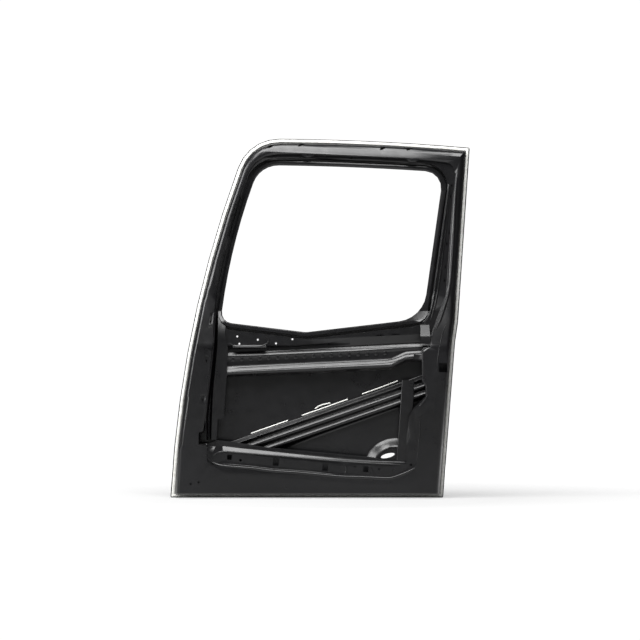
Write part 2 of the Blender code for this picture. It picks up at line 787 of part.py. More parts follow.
def ledge_inner_line():
    """Line along the foot where the ledge ends and the drop to the rim begins."""
    return [
        corner((-0.4372, 0.2045)),
        corner((-0.4280, 0.1660), 0.006),
        corner((-0.3820, 0.1870), 0.020),
        corner((0.1014, 0.1412)),
        corner((0.3400, 0.1340), 0.010),
        corner((0.3530, 0.3080), 0.010),
        corner((0.3726, 0.3371)),
    ]


def rim_outer_line():
    """Line along the foot where that drop reaches the rim."""
    return [
        corner((-0.4345, 0.2065)),
        corner((-0.4075, 0.2000), 0.006),
        corner((-0.3800, 0.2020), 0.012),
        corner((-0.1170, 0.1735)),
        corner((0.1014, 0.1500)),
        corner((0.3355, 0.1404), 0.008),
        corner((0.3490, 0.3110), 0.008),
        corner((0.3680, 0.3365)),
    ]


def rim_edge():
    """Edge of the service opening: along the flange above, on its own line along the foot."""
    flange = inset(face_edge_outline(), LEDGE_FLANGE_SLOPE + LEDGE_WIDTH)
    foot = [
        corner((0.3440, 0.3150), 0.006),
        corner((0.3300, 0.1480), 0.006),
        corner((0.2650, 0.1500), 0.006),
        corner((0.1970, 0.1607)),
        corner((0.0000, 0.1786)),
        corner((-0.2160, 0.1990)),
        corner((-0.3354, 0.2190), 0.010),
        corner((-0.4000, 0.2262), 0.006),
    ]
    return flange[1 : 16 + 4 * len(HEADER_TABS)] + foot


def door_line(distances):
    """The door's outline moved in, with the same points at each corner whatever the distance."""
    return trace(inset(door_outline(), distances), CORNER_FACETS)


def handle_hole(margin=0.0):
    half_length, half_height = HANDLE_HOLE_LENGTH / 2 + margin, HANDLE_HOLE_HEIGHT / 2 + margin
    return ellipse(HANDLE_HOLE_CENTRE, half_length, half_height, 14, HANDLE_HOLE_TILT)


def build_outer_skin(collection, material):
    window = window_outline()
    relief = Relief()
    rim = relief.contour(door_line(HEM_ROLL), SKIN_FACE)
    flange_depth = SKIN_FACE - WINDOW_REBATE
    relief.contour(trace(inset(window, -WINDOW_FLANGE - 0.002)), SKIN_FACE)
    relief.contour(trace(inset(window, -WINDOW_FLANGE)), flange_depth)
    relief.opening(trace(inset(window, -0.0005)), flange_depth)
    for share, drop in BOWL_SECTION:
        ring = ellipse(BOWL_CENTRE, BOWL_HALF_WIDTH * share, BOWL_HALF_HEIGHT * share)
        relief.contour(ring, SKIN_FACE - BOWL_DEPTH * drop)
    relief.opening(handle_hole(), SKIN_FACE - BOWL_DEPTH)
    for centre in MIRROR_PLATE_HOLES + BELT_HOLES:
        relief.opening(ellipse(centre, SKIN_HOLE_RADIUS, SKIN_HOLE_RADIUS, 8), SKIN_FACE)
    surface = relief.mesh(rim, outward=True)
    roll_hem(surface)
    return place("outer_skin", surface, material, collection, SKIN_GAUGE)


def roll_hem(surface):
    """Folds the skin's edge round the inner panel's flange, one turned row at a time."""
    turned = HEM_ROLL * 0.3
    rows = ((turned, -turned), (0.0, -HEM_ROLL), (turned, turned - 2 * HEM_ROLL))
    rows += ((HEM_ROLL, -2 * HEM_ROLL), (HEM_WIDTH, -2 * HEM_ROLL))
    edge_verts = [vert for vert in surface.verts if any(edge.is_boundary for edge in vert.link_edges)]
    places = KDTree(len(edge_verts))
    for index, vert in enumerate(edge_verts):
        places.insert((vert.co.x, vert.co.z, 0.0), index)
    places.balance()
    outer = door_line(HEM_ROLL)
    row = [edge_verts[places.find((point.x, point.y, 0.0))[1]] for point in outer]
    for distance, drop in rows:
        line = door_line(distance)
        fresh = [surface.verts.new((p.x, SKIN_FACE + drop, p.y)) for p in line]
        for i in range(len(row)):
            surface.faces.new((row[i - 1], fresh[i - 1], fresh[i], row[i]))
        row = fresh


def shoulder_level(frame_share, body_share):
    """Depth of one line of the rounded shoulder between the hem flange and the face."""

    def level(z):
        share = body_share + (frame_share - body_share) * ramp_share(z)
        return HEM_FACE + (face_level(z) - HEM_FACE) * share

    return level


def pocket_floor(z):
    return face_level(z) + POCKET_DEPTH


def build_inner_panel(collection, material):
    edge = face_edge_outline()
    relief = Relief()
    rim = relief.contour(door_line(PANEL_EDGE_INSET), HEM_FACE)
    for distance, frame_share, body_share in SHOULDER:
        foot = SHOULDER_START + (distance - SHOULDER_START) * FOOT_SHOULDER_SHARE
        relief.contour(door_line([distance] * 5 + [foot]), shoulder_level(frame_share, body_share))
    relief.contour(trace(edge), face_level)
    relief.contour(trace(inset(edge, LEDGE_FLANGE_SLOPE)), ledge_level)
    relief.contour(trace(ledge_inner_line()), ledge_level, closed=False)
    relief.contour(trace(rim_outer_line()), rim_level, closed=False)
    relief.opening(trace(rim_edge()), rim_level)
    relief.bead(FACE_BEAD, face_level, FACE_BEAD_HALF_WIDTH, FACE_BEAD_HEIGHT)
    for centre, width, height in PILLAR_POCKETS:
        relief.pad(rectangle(centre, width, height, 0.003, PILLAR_LEAN), face_level, POCKET_DEPTH)
    for centre, radius in POCKET_HOLES:
        relief.opening(ellipse(centre, radius, radius, 8), pocket_floor)
    for centre, width, height in LEDGE_HOLES:
        relief.opening(trace(rectangle(centre, width, height, 0.002, LEDGE_LEAN)), ledge_level)
    for centre, radius in LEDGE_ROUND_HOLES:
        relief.opening(ellipse(centre, radius, radius, 8), ledge_level)
    for middle in HEADER_TABS:
        centre = (middle, header_edge(middle) - HEADER_TAB_DROP / 2)
        radius = HEADER_TAB_HOLE_RADIUS
        relief.opening(ellipse(centre, radius, radius, 8), face_level)
    for centre, radius in FACE_ROUND_HOLES:
        relief.opening(ellipse(centre, radius, radius, 8), face_level)
    surface = relief.mesh(rim)
    return place("inner_panel", surface, material, collection, PANEL_GAUGE)


def build_hem_sealer(collection, material):
    """Bead of sealer over the hem's cut edge: a low rounded strip all round the door."""
    base = HEM_RETURN - CLEARANCE
    section = ((0.0, 0.0), (0.08, 0.7), (0.3, 1.0), (0.7, 1.0), (0.92, 0.7), (1.0, 0.0))
    surface = bmesh.new()
    rows = []
    for across, up in section:
        line = door_line(SEALER_START + SEALER_WIDTH * across)
        rows.append([surface.verts.new((p.x, base - SEALER_HEIGHT * up, p.y)) for p in line])
    for i, row in enumerate(rows):
        before = rows[i - 1]
        for j in range(len(row)):
            surface.faces.new((before[j - 1], row[j - 1], row[j], before[j]))
    bmesh.ops.recalc_face_normals(surface, faces=surface.faces[:])
    return place("hem_sealer", surface, material, collection)


def build_guide_frame(collection, material):
    """Frame that holds the glass run: a lap strip, a deep groove, a flange and a lip."""
    relief = Relief()
    rim = relief.contour(trace(inset(face_edge_outline(), -GUIDE_LAP)), lap_level)
    relief.contour(run_line(RUN_LAP_START), lap_level)
    relief.contour(run_line(RUN_FLOOR_END), RUN_FLOOR_DEPTH)
    relief.contour(run_line(RUN_FLOOR_START), RUN_FLOOR_DEPTH)
    relief.contour(run_line(RUN_FLANGE_END), RUN_FLANGE_DEPTH)
    relief.contour(run_line(RUN_LIP_END), RUN_FLANGE_DEPTH)
    relief.opening(trace(window_outline()), RUN_LIP_DEPTH)
    foot, top = Vector(WINDOW_FOOT_REAR), Vector(WINDOW_TOP_REAR)
    way = (top - foot).normalized()
    middle = foot.lerp(top, (REAR_RIB_MIDDLE_Z - foot.y) / (top.y - foot.y))
    middle += Vector((way.y, -way.x)) * REAR_RIB_OUT
    lean_angle = -math.degrees(math.atan2(way.x, way.y))
    rib = rectangle(middle, REAR_RIB_WIDTH, REAR_RIB_LENGTH, 0.0, lean_angle)
    relief.pad(rib, lap_level, -REAR_RIB_HEIGHT, 0.002)
    for centre in HEADER_STRIP_HOLES:
        relief.opening(ellipse(centre, HEADER_HOLE_RADIUS, HEADER_HOLE_RADIUS, 6), lap_level)
    for centre in REAR_STRIP_HOLES:
        relief.opening(trace(rectangle(centre, *REAR_STRIP_HOLE, 0.001, lean_angle)), lap_level)
    surface = relief.mesh(rim)
    everything = surface.verts[:] + surface.edges[:] + surface.faces[:]
    bmesh.ops.bisect_plane(
        surface,
        geom=everything,
        plane_co=(0, 0, GUIDE_FRAME_FOOT_Z),
        plane_no=(0, 0, 1),
        clear_inner=True,
    )
    return place("guide_frame", surface, material, collection, FRAME_GAUGE)


def below(outline, height):
    """The part of a closed outline under a height, as an open line from its rear crossing."""
    count = len(outline)
    down = next(i for i in range(count) if outline[i].y > height >= outline[(i + 1) % count].y)
    points = [level_point(outline[down], outline[(down + 1) % count], height)]
    i = (down + 1) % count
    while outline[i].y <= height:
        points.append(outline[i])
        i = (i + 1) % count
    points.append(level_point(outline[i - 1], outline[i], height))
    return points


def level_point(start, end, height):
    """Point at a height on the line between two others."""
    return start.lerp(end, (height - start.y) / (end.y - start.y))


def crossings(outline, height):
    """Places across the door where an outline passes a height, from the front to the rear."""
    found = []
    for start, end in zip(outline, outline[1:]):
        if (start.y > height) != (end.y > height):
            found.append(level_point(start, end, height).x)
    return sorted(found)


def until(points, x):
    """The part of a line, running forward along the door, that lies behind a place."""
    kept = [point for point in points if point.x > x]
    last, after = kept[-1], points[len(kept)]
    return kept + [last.lerp(after, (x - last.x) / (after.x - last.x))]


def sill_blend(at_sill, at_pillar):
    """Depth that changes from the sill's to the pillars' where the sill turns up into them."""
    return lambda z: ramp(z, SILL_BLEND_Z, BELT_TOP_Z, at_sill, at_pillar)


def with_depth(points, depth):
    """Points of an outline as (x, depth, z), the depth a number or a function of the height."""
    return [(p.x, depth(p.y) if callable(depth) else depth, p.y) for p in map(Vector, points)]


def belt_front_line():
    """Front edge of the belt panel, beside the front channel."""
    front, top, rear = RUN_FLANGE_END
    line = below(run_line((front + BELT_SIDE_GAP, top, rear)), BELT_TOP_Z)
    return [point for point in line if point.x < BELT_FRONT_X]


def build_belt_panel(collection, material):
    """Inner belt panel under the window, with the sill and both lower window corners."""
    relief = Relief()
    flange = sill_blend(SILL_FACE_DEPTH, RUN_FLANGE_DEPTH)
    groove = sill_blend(SILL_GROOVE_DEPTH, RUN_FLOOR_DEPTH)
    sill = below(trace(window_outline()), BELT_TOP_Z)[::-1]
    rear_x = crossings(trace(inset(face_edge_outline(), -BELT_REAR_LAP)), BELT_TOP_Z)[-1]
    lines = []
    for distances, at_sill, depth in (
        (RUN_LIP_END, SILL_LIP_END, flange),
        (RUN_FLANGE_END, SILL_FACE_END, flange),
        (RUN_FLOOR_START, SILL_GROOVE_START, groove),
        (RUN_FLOOR_END, SILL_GROOVE_END, groove),
        (RUN_LAP_START, SILL_BELT_START, BELT_FACE_DEPTH),
    ):
        line = below(run_line(distances, at_sill), BELT_TOP_Z)
        if distances[0] > RUN_FLANGE_END[0]:
            line = until(line, BELT_GROOVE_FRONT_X)
        lines.append(with_depth(line, depth))
    border = with_depth(sill, sill_blend(SILL_LIP_DEPTH, RUN_LIP_DEPTH))
    border += [line[0] for line in lines]
    border += with_depth([(rear_x, BELT_TOP_Z), BELT_REAR_CORNER, BELT_CREASE[0]], BELT_FACE_DEPTH)
    foot = [(x, rail_crest(x) + BELT_FOOT_OVER_CREST) for x, _ in BELT_CREASE]
    flange_line = [(x, z + BELT_FOOT_FLANGE) for x, z in foot]
    border += with_depth([flange_line[0]] + foot + [flange_line[-1]], BELT_FOOT_DEPTH)
    border += with_depth([BELT_CREASE[-1]], BELT_FACE_DEPTH)
    border += with_depth(belt_front_line(), flange)
    border += [line[-1] for line in lines[1::-1]]
    rim = relief.line(border, closed=True)
    for line in lines:
        relief.line(line)
    relief.line(with_depth(BELT_CREASE, BELT_FACE_DEPTH))
    relief.line(with_depth(flange_line, BELT_FOOT_DEPTH))
    for centre in MIRROR_PLATE_HOLES + BELT_HOLES:
        relief.opening(ellipse(centre, MIRROR_HOLE_RADIUS, MIRROR_HOLE_RADIUS, 8), BELT_FACE_DEPTH)
    for centre in BELT_SLOTS:
        relief.opening(trace(rectangle(centre, *BELT_SLOT, 0.002, 3.0)), BELT_FACE_DEPTH)
    surface = relief.mesh(rim)
    return place("belt_panel", surface, material, collection, PANEL_GAUGE)


def ribbon(rows):
    """Sheet laid through rows of points, its face turned towards the cab."""
    surface = bmesh.new()
    across, along = len(rows[0]), len(rows)
    made = bmesh.ops.create_grid(surface, x_segments=across - 1, y_segments=along - 1, size=1.0)
    for vert, point in zip(made["verts"], (point for row in rows for point in row)):
        vert.co = point
    surface.normal_update()
    if sum(face.normal.y * face.calc_area() for face in surface.faces) > 0:
        bmesh.ops.reverse_faces(surface, faces=surface.faces[:])
    return surface


def soften(profile, radius):
    """A section with each of its bends cut by a short facet."""
    points = [Vector(point) for point in profile]
    soft = [points[0]]
    for before, here, after in zip(points, points[1:], points[2:]):
        back, ahead = before - here, after - here
        soft.append(here + back.normalized() * min(radius, back.length * 0.45))
        soft.append(here + ahead.normalized() * min(radius, ahead.length * 0.45))
    return soft + [points[-1]]


def build_front_channel(collection, material):
    """Front glass channel: a lap, a deep groove, and a wide strip, from the foot to the window."""
    edge = trace(face_edge_outline())
    stations = list(FRONT_CHANNEL_STATIONS)
    for point in belt_front_line():
        z = min(point.y, BELT_TOP_Z - CLEARANCE)
        stations.append((z, FRONT_GROOVE_BESIDE_BELT, point.x - BELT_SIDE_GAP))
    rows = []
    for z, groove_end, strip in FRONT_CHANNEL_FOOT:
        lap_end = FRONT_CHANNEL_FOOT_X + FRONT_CHANNEL_FOOT_LAP
        rows.append(
            [
                (FRONT_CHANNEL_FOOT_X, lap_level(z), z),
                (lap_end, lap_level(z), z),
                (lap_end + FRONT_CHANNEL_WALL, RUN_FLOOR_DEPTH, z),
                (groove_end - FRONT_CHANNEL_WALL, RUN_FLOOR_DEPTH, z),
                (groove_end, FRONT_STRIP_DEPTH, z),
                (strip, FRONT_STRIP_DEPTH, z),
            ]
        )
    for z, groove, strip in stations:
        start = crossings(edge, z)[0]
        depth = ramp(z, FRONT_STRIP_RISE_Z, BELT_TOP_Z, FRONT_STRIP_DEPTH, RUN_FLANGE_DEPTH)
        rows.append(
            [
                (start - FRONT_CHANNEL_LAP, lap_level(z), z),
                (start + FRONT_CHANNEL_LAP_END, lap_level(z), z),
                (start + FRONT_CHANNEL_FLOOR_START, RUN_FLOOR_DEPTH, z),
                (start + groove - FRONT_CHANNEL_WALL, RUN_FLOOR_DEPTH, z),
                (start + groove, depth, z),
                (strip, depth, z),
            ]
        )
    rows = [soften(row, FRONT_CHANNEL_BEND) for row in rows]
    return place("front_glass_channel", ribbon(rows), material, collection, FRAME_GAUGE)


def build_rear_channel(collection, material):
    """Rear glass channel: a plain channel section standing behind the ledge."""
    rows = []
    flange = REAR_CHANNEL_DEPTH + REAR_CHANNEL_FLANGE
    for z, front, rear in REAR_CHANNEL_STATIONS:
        rows.append(
            [
                (front, flange, z),
                (front + REAR_CHANNEL_DRAFT, REAR_CHANNEL_DEPTH, z),
                (rear - REAR_CHANNEL_DRAFT, REAR_CHANNEL_DEPTH, z),
                (rear, flange, z),
            ]
        )
    rows = [soften(row, REAR_CHANNEL_BEND) for row in rows]
    return place("rear_glass_channel", ribbon(rows), material, collection, FRAME_GAUGE)


def rail_crest(x):
    """Height of the belt rail's crest along the door."""
    return RAIL_MIDDLE_Z + RAIL_SLOPE * x + RAIL_BOW * x * x


def build_inner_rail(collection, material):
    """Inner belt reinforcement: two crested rails with a flat web between them."""
    rows = []
    for x in RAIL_STATIONS:
        rise = ramp(x, RAIL_STEP_START_X, RAIL_STEP_END_X, 0.0, RAIL_STEP_UP)
        row = []
        for down, depth in RAIL_SECTION:
            lift = rise if down > RAIL_WEB_DOWN else 0.0
            row.append((x, depth, rail_crest(x) - down + lift))
        rows.append(soften(row, RAIL_BEND))
    return place("belt_rail_inner", ribbon(rows), material, collection, FRAME_GAUGE)


def build_rail_bracket(collection, material):
    """Bracket from the belt rail's lower crest to the back of the rear pillar's face."""
    seat = RAIL_SECTION[-2][1] - CLEARANCE - FRAME_GAUGE
    rows = []
    for x, share in RAIL_BRACKET:
        depth = seat + (FACE_BACK - seat) * share
        rows.append([(x, depth, z) for z in RAIL_BRACKET_Z])
    return place("belt_rail_bracket", ribbon(rows), material, collection, FRAME_GAUGE)


def build_outer_rail(collection, material):
    """Outer belt reinforcement: a hat section against the skin, under the sill."""
    back = SKIN_BACK - FRAME_GAUGE
    crest = back - OUTER_RAIL_HEIGHT
    edge, foot, top = OUTER_RAIL_HALF_WIDTHS
    section = ((edge, back), (foot, back), (top, crest))
    section += tuple((-up, depth) for up, depth in section[::-1])
    rows = [[(x, depth, OUTER_RAIL_Z + up) for up, depth in section] for x in OUTER_RAIL_STATIONS]
    return place("belt_rail_outer", ribbon(rows), material, collection, FRAME_GAUGE)


def along_beam(distance, across):
    """Place on the beam's axis line, and across it."""
    start, end = Vector(BEAM_FRONT), Vector(BEAM_REAR)
    way = (end - start).normalized()
    up = Vector((-way.y, way.x))
    return start + way * distance + up * across


def beam_back():
    """Depth of the beam's outer flanges, on the cab side."""
    return SKIN_FACE - SKIN_GAUGE - BEAM_SKIN_GAP - BEAM_GAUGE


def beam_section():
    """The beam's section from its upper edge down: distance across, and share of its height."""
    section = [(BEAM_EDGES[0], 0.0)]
    for index, (middle, half_width) in enumerate(BEAM_RIDGES):
        for step in range(BEAM_RIDGE_STEPS + 1):
            share = step / BEAM_RIDGE_STEPS
            outermost = index == 0 if share < 0.5 else index == len(BEAM_RIDGES) - 1
            base = 0.0 if outermost else BEAM_TROUGH
            height = base + (1 - base) * math.sin(math.pi * share)
            section.append((middle + half_width * (1 - 2 * share), height))
    return section + [(BEAM_EDGES[1], 0.0)]


def build_beam(collection, material):
    """Side impact beam: one pressing with three ridges, from the front foot to the rear belt."""
    length = (Vector(BEAM_REAR) - Vector(BEAM_FRONT)).length
    rows = []
    for share in (0.0, 0.33, 0.67, 1.0):
        row = []
        for across, height in beam_section():
            point = along_beam(length * share, across)
            row.append((point.x, beam_back() - BEAM_HEIGHT * height, point.y))
        rows.append(row)
    return place("intrusion_beam", ribbon(rows), material, collection, BEAM_GAUGE)


def build_beam_bracket(name, stations, collection, material):
    """Bracket that carries one end of the beam to the back of the inner panel's face."""
    seat = beam_back() - BEAM_HEIGHT - CLEARANCE - PLATE_GAUGE
    rows = []
    for distance, share in stations:
        depth = seat + (FACE_BACK - seat) * share
        points = [along_beam(distance, across) for across in BRACKET_ACROSS]
        rows.append([(point.x, depth, point.y) for point in points])
    return place(name, ribbon(rows), material, collection, PLATE_GAUGE)


def build_plate(name, corners, bolts, radius, depth, gauge, collection, material):
    """Flat plate with round bolt holes, its cab side at a depth."""
    relief = Relief()
    rim = relief.contour(trace(corners), depth)
    for x, z, _, _ in bolts:
        relief.opening(ellipse((x, z), radius, radius, 8), depth)
    return place(name, relief.mesh(rim), material, collection, gauge)


def build_reinforcements(collection, material):
    """Plates behind the pillar faces where hinges, check strap and lock are bolted."""
    across, along = BOLT_SPREAD
    for name, (centre, width, height, turn) in REINFORCEMENTS.items():
        corners = rectangle(centre, width, height, 0.004, turn)
        bolts = rectangle(centre, width * across, height * along, 0.0, turn)
        build_plate(name, corners, bolts, BOLT_HOLE_RADIUS, FACE_BACK, PLATE_GAUGE, collection, material)
    for name, carrier in NUT_PLATES.items():
        centre, width, height, turn = REINFORCEMENTS[carrier]
        size = (width - NUT_PLATE_MARGIN, height - NUT_PLATE_MARGIN)
        corners = rectangle(centre, *size, 0.004, turn)
        bolts = rectangle(centre, width * across, height * along, 0.0, turn)
        depth = FACE_BACK + PLATE_GAUGE + CLEARANCE
        build_plate(name, corners, bolts, BOLT_THREAD_RADIUS, depth, NUT_PLATE_GAUGE, collection, material)


def build_mirror_plate(collection, material):
    """Mirror reinforcement on the belt panel: a pad whose lower edge curls towards the cab."""
    depth = BELT_FACE_DEPTH - CLEARANCE - FRAME_GAUGE
    lower = [MIRROR_PLATE[0], MIRROR_PLATE[3]]
    bend = [(x, MIRROR_LIP_Z) for x, _ in lower]
    relief = Relief()
    border = with_depth([bend[0], MIRROR_PLATE[1], MIRROR_PLATE[2], bend[1]], depth)
    border += with_depth([lower[1], lower[0]], depth - MIRROR_LIP_HEIGHT)
    rim = relief.line(border, closed=True)
    relief.line(with_depth(bend, depth))
    for centre in MIRROR_PLATE_HOLES:
        relief.opening(ellipse(centre, MIRROR_HOLE_RADIUS, MIRROR_HOLE_RADIUS, 8), depth)
    return place("mirror_reinforcement", relief.mesh(rim), material, collection, FRAME_GAUGE)


def build_rear_gusset(collection, material):
    """Gusset at the foot of the rear pillar: a sloping facet, and a tab on the ledge."""
    seat = CLEARANCE + FRAME_GAUGE
    depths = [BELT_FACE_DEPTH - seat]
    depths += [ledge_level(z) - seat for z, _, _ in (GUSSET_FACET_FOOT, GUSSET_TAB_FOOT)]
    depths.append(ledge_level(GUSSET_LIP[0]) - seat - GUSSET_LIP_HEIGHT)
    rows = []
    for (z, front, rear), depth in zip(
        (GUSSET_FACET_TOP, GUSSET_FACET_FOOT, GUSSET_TAB_FOOT, GUSSET_LIP), depths
    ):
        rows.append([(front, depth, z), ((front + rear) / 2, depth, z), (rear, depth, z)])
    return place("rear_pillar_gusset", ribbon(rows), material, collection, FRAME_GAUGE)


def build_mastic_bead(name, points, collection, material):
    """Bead of anti-flutter mastic squeezed out beside the beam, as a round tube."""
    curve = bpy.data.curves.new(name, "CURVE")
    curve.dimensions = "3D"
    curve.bevel_depth = MASTIC_RADIUS
    curve.bevel_resolution = 1
    curve.use_fill_caps = True
    spline = curve.splines.new("POLY")
    spline.points.add(len(points) - 1)
    for target, (x, z) in zip(spline.points, points):
        depth = SKIN_BACK - MASTIC_RADIUS + camber(z)
        target.co = (x * WIDTH_SHARE, depth, z * HEIGHT_SHARE, 1.0)
    curve.materials.append(material)
    bead = bpy.data.objects.new(name, curve)
    collection.objects.link(bead)
    return bead


def cut(panel, cutter, name, cutters):
    """Cuts a hole through the panel with a hidden cutter."""
    cutter.name = name
    bpy.ops.object.transform_apply(location=True, rotation=True, scale=True)
    cutter.scale = (WIDTH_SHARE, 1.0, HEIGHT_SHARE)
    bpy.ops.object.transform_apply(location=False, rotation=False, scale=True)
    for collection in cutter.users_collection:
        collection.objects.unlink(cutter)
    cutters.objects.link(cutter)
    cutter.hide_render = True
    cutter.display_type = "WIRE"
    hole = panel.modifiers.new(name, "BOOLEAN")
    hole.operation = "DIFFERENCE"
    hole.object = cutter
    hole.solver = "EXACT"


def cut_lock_aperture(panel, cutters):
    """The lock's rectangular hole through the panel's rear shoulder."""
    bpy.ops.mesh.primitive_cube_add(size=1.0, location=LOCK_APERTURE_CENTRE)
    bpy.context.object.scale = LOCK_APERTURE_SIZE
    cut(panel, bpy.context.object, "lock_aperture", cutters)


def cut_header_slots(panel, cutters):
    """Slanted oval slots through the header's face."""
    for index, (x, z) in enumerate(HEADER_SLOTS, 1):
        depth = FRAME_FACE + camber(z)
        turn = (math.radians(90), math.radians(-HEADER_SLOT_TILT), 0.0)
        bpy.ops.mesh.primitive_cylinder_add(
            vertices=10, radius=1.0, depth=1.0, location=(x, depth, z), rotation=turn
        )
        bpy.context.object.scale = (*HEADER_SLOT, HEADER_SLOT_REACH)
        cut(panel, bpy.context.object, f"header_slot_{index}", cutters)


def build_handle_plate(collection, material):
    """Handle reinforcement: a plate on the crown of the bowl, open round the handle's hole."""
    depth = SKIN_FACE - BOWL_DEPTH - SKIN_GAUGE - CLEARANCE - HANDLE_PLATE_GAUGE
    half_width = BOWL_HALF_WIDTH * HANDLE_PLATE_SHARE
    half_height = BOWL_HALF_HEIGHT * HANDLE_PLATE_SHARE
    relief = Relief()
    rim = relief.contour(ellipse(BOWL_CENTRE, half_width, half_height), depth)
    relief.opening(handle_hole(HANDLE_PLATE_HOLE_MARGIN), depth)
    return place("handle_reinforcement", relief.mesh(rim), material, collection, HANDLE_PLATE_GAUGE)


def main():
    for old in list(bpy.data.objects):
        bpy.data.objects.remove(old, do_unlink=True)
    scene = bpy.context.scene
    shell = bpy.data.collections.new("door_shell")
    cutters = bpy.data.collections.new("cutters")
    scene.collection.children.link(shell)
    scene.collection.children.link(cutters)
    black = primer("black_electrocoat", BLACK_PRIMER, 0.38)
    sealer = primer("hem_sealer_white", SEALER_WHITE, 0.55)
    mastic = primer("mastic_white", MASTIC_WHITE, 0.60)

    build_outer_skin(shell, black)
    panel = build_inner_panel(shell, black)
    cut_lock_aperture(panel, cutters)
    cut_header_slots(panel, cutters)
    build_hem_sealer(shell, sealer)
    build_guide_frame(shell, black)
    build_belt_panel(shell, black)
    build_mirror_plate(shell, black)
    build_front_channel(shell, black)
    build_rear_channel(shell, black)
    build_inner_rail(shell, black)
    build_rail_bracket(shell, black)
    build_outer_rail(shell, black)
    build_beam(shell, black)
    build_beam_bracket("beam_bracket_front", FRONT_BRACKET, shell, black)
    build_beam_bracket("beam_bracket_rear", REAR_BRACKET, shell, black)
    build_rear_gusset(shell, black)
    build_reinforcements(shell, black)
    build_handle_plate(shell, black)
    for index, points in enumerate(MASTIC_LINES, 1):
        build_mastic_bead(f"mastic_bead_{index}", points, shell, mastic)


main()
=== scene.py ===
"""Finish and small pressings of a bare truck cab door shell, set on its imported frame."""

import json
import math

import bmesh
import bpy
from mathutils import Matrix, Vector
from mathutils.bvhtree import BVHTree


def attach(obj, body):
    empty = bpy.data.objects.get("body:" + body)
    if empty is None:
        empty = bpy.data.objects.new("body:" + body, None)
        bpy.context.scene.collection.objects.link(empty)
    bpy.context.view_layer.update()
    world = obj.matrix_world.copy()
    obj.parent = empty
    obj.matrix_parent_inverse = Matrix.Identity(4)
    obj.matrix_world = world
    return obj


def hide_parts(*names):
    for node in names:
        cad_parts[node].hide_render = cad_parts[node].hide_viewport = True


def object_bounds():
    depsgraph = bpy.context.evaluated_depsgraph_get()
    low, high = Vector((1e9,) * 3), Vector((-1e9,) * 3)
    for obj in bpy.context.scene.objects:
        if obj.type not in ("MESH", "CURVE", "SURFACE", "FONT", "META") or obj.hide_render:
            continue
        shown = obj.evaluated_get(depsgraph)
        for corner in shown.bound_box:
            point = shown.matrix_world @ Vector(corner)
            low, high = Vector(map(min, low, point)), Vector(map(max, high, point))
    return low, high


bl_info = {
    "name": "Truck cab door shell",
    "version": (1, 0, 0),
    "blender": (4, 5, 0),
    "location": "3D View > Sidebar > Door shell",
    "description": "Dip primer, seam sealer and small pressings of a bare truck cab door shell",
    "category": "Object",
}

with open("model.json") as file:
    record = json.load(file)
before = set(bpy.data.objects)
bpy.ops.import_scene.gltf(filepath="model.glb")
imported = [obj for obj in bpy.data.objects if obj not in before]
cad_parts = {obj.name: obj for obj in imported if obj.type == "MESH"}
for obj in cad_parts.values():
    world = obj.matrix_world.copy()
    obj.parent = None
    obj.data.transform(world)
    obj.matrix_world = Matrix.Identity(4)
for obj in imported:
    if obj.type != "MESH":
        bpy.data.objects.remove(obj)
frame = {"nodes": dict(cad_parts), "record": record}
CAD_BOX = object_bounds()
BODY = "root"

PRIMED_SLOT = "black_electrocoat"
MASTIC_SLOT = "mastic_white"

# The photograph's scale and place on the door: metres for one pixel, and the pixel that shows the
# middle of the foot edge
PIXEL = 0.0039
FOOT_PIXEL = (320.0, 498.0)

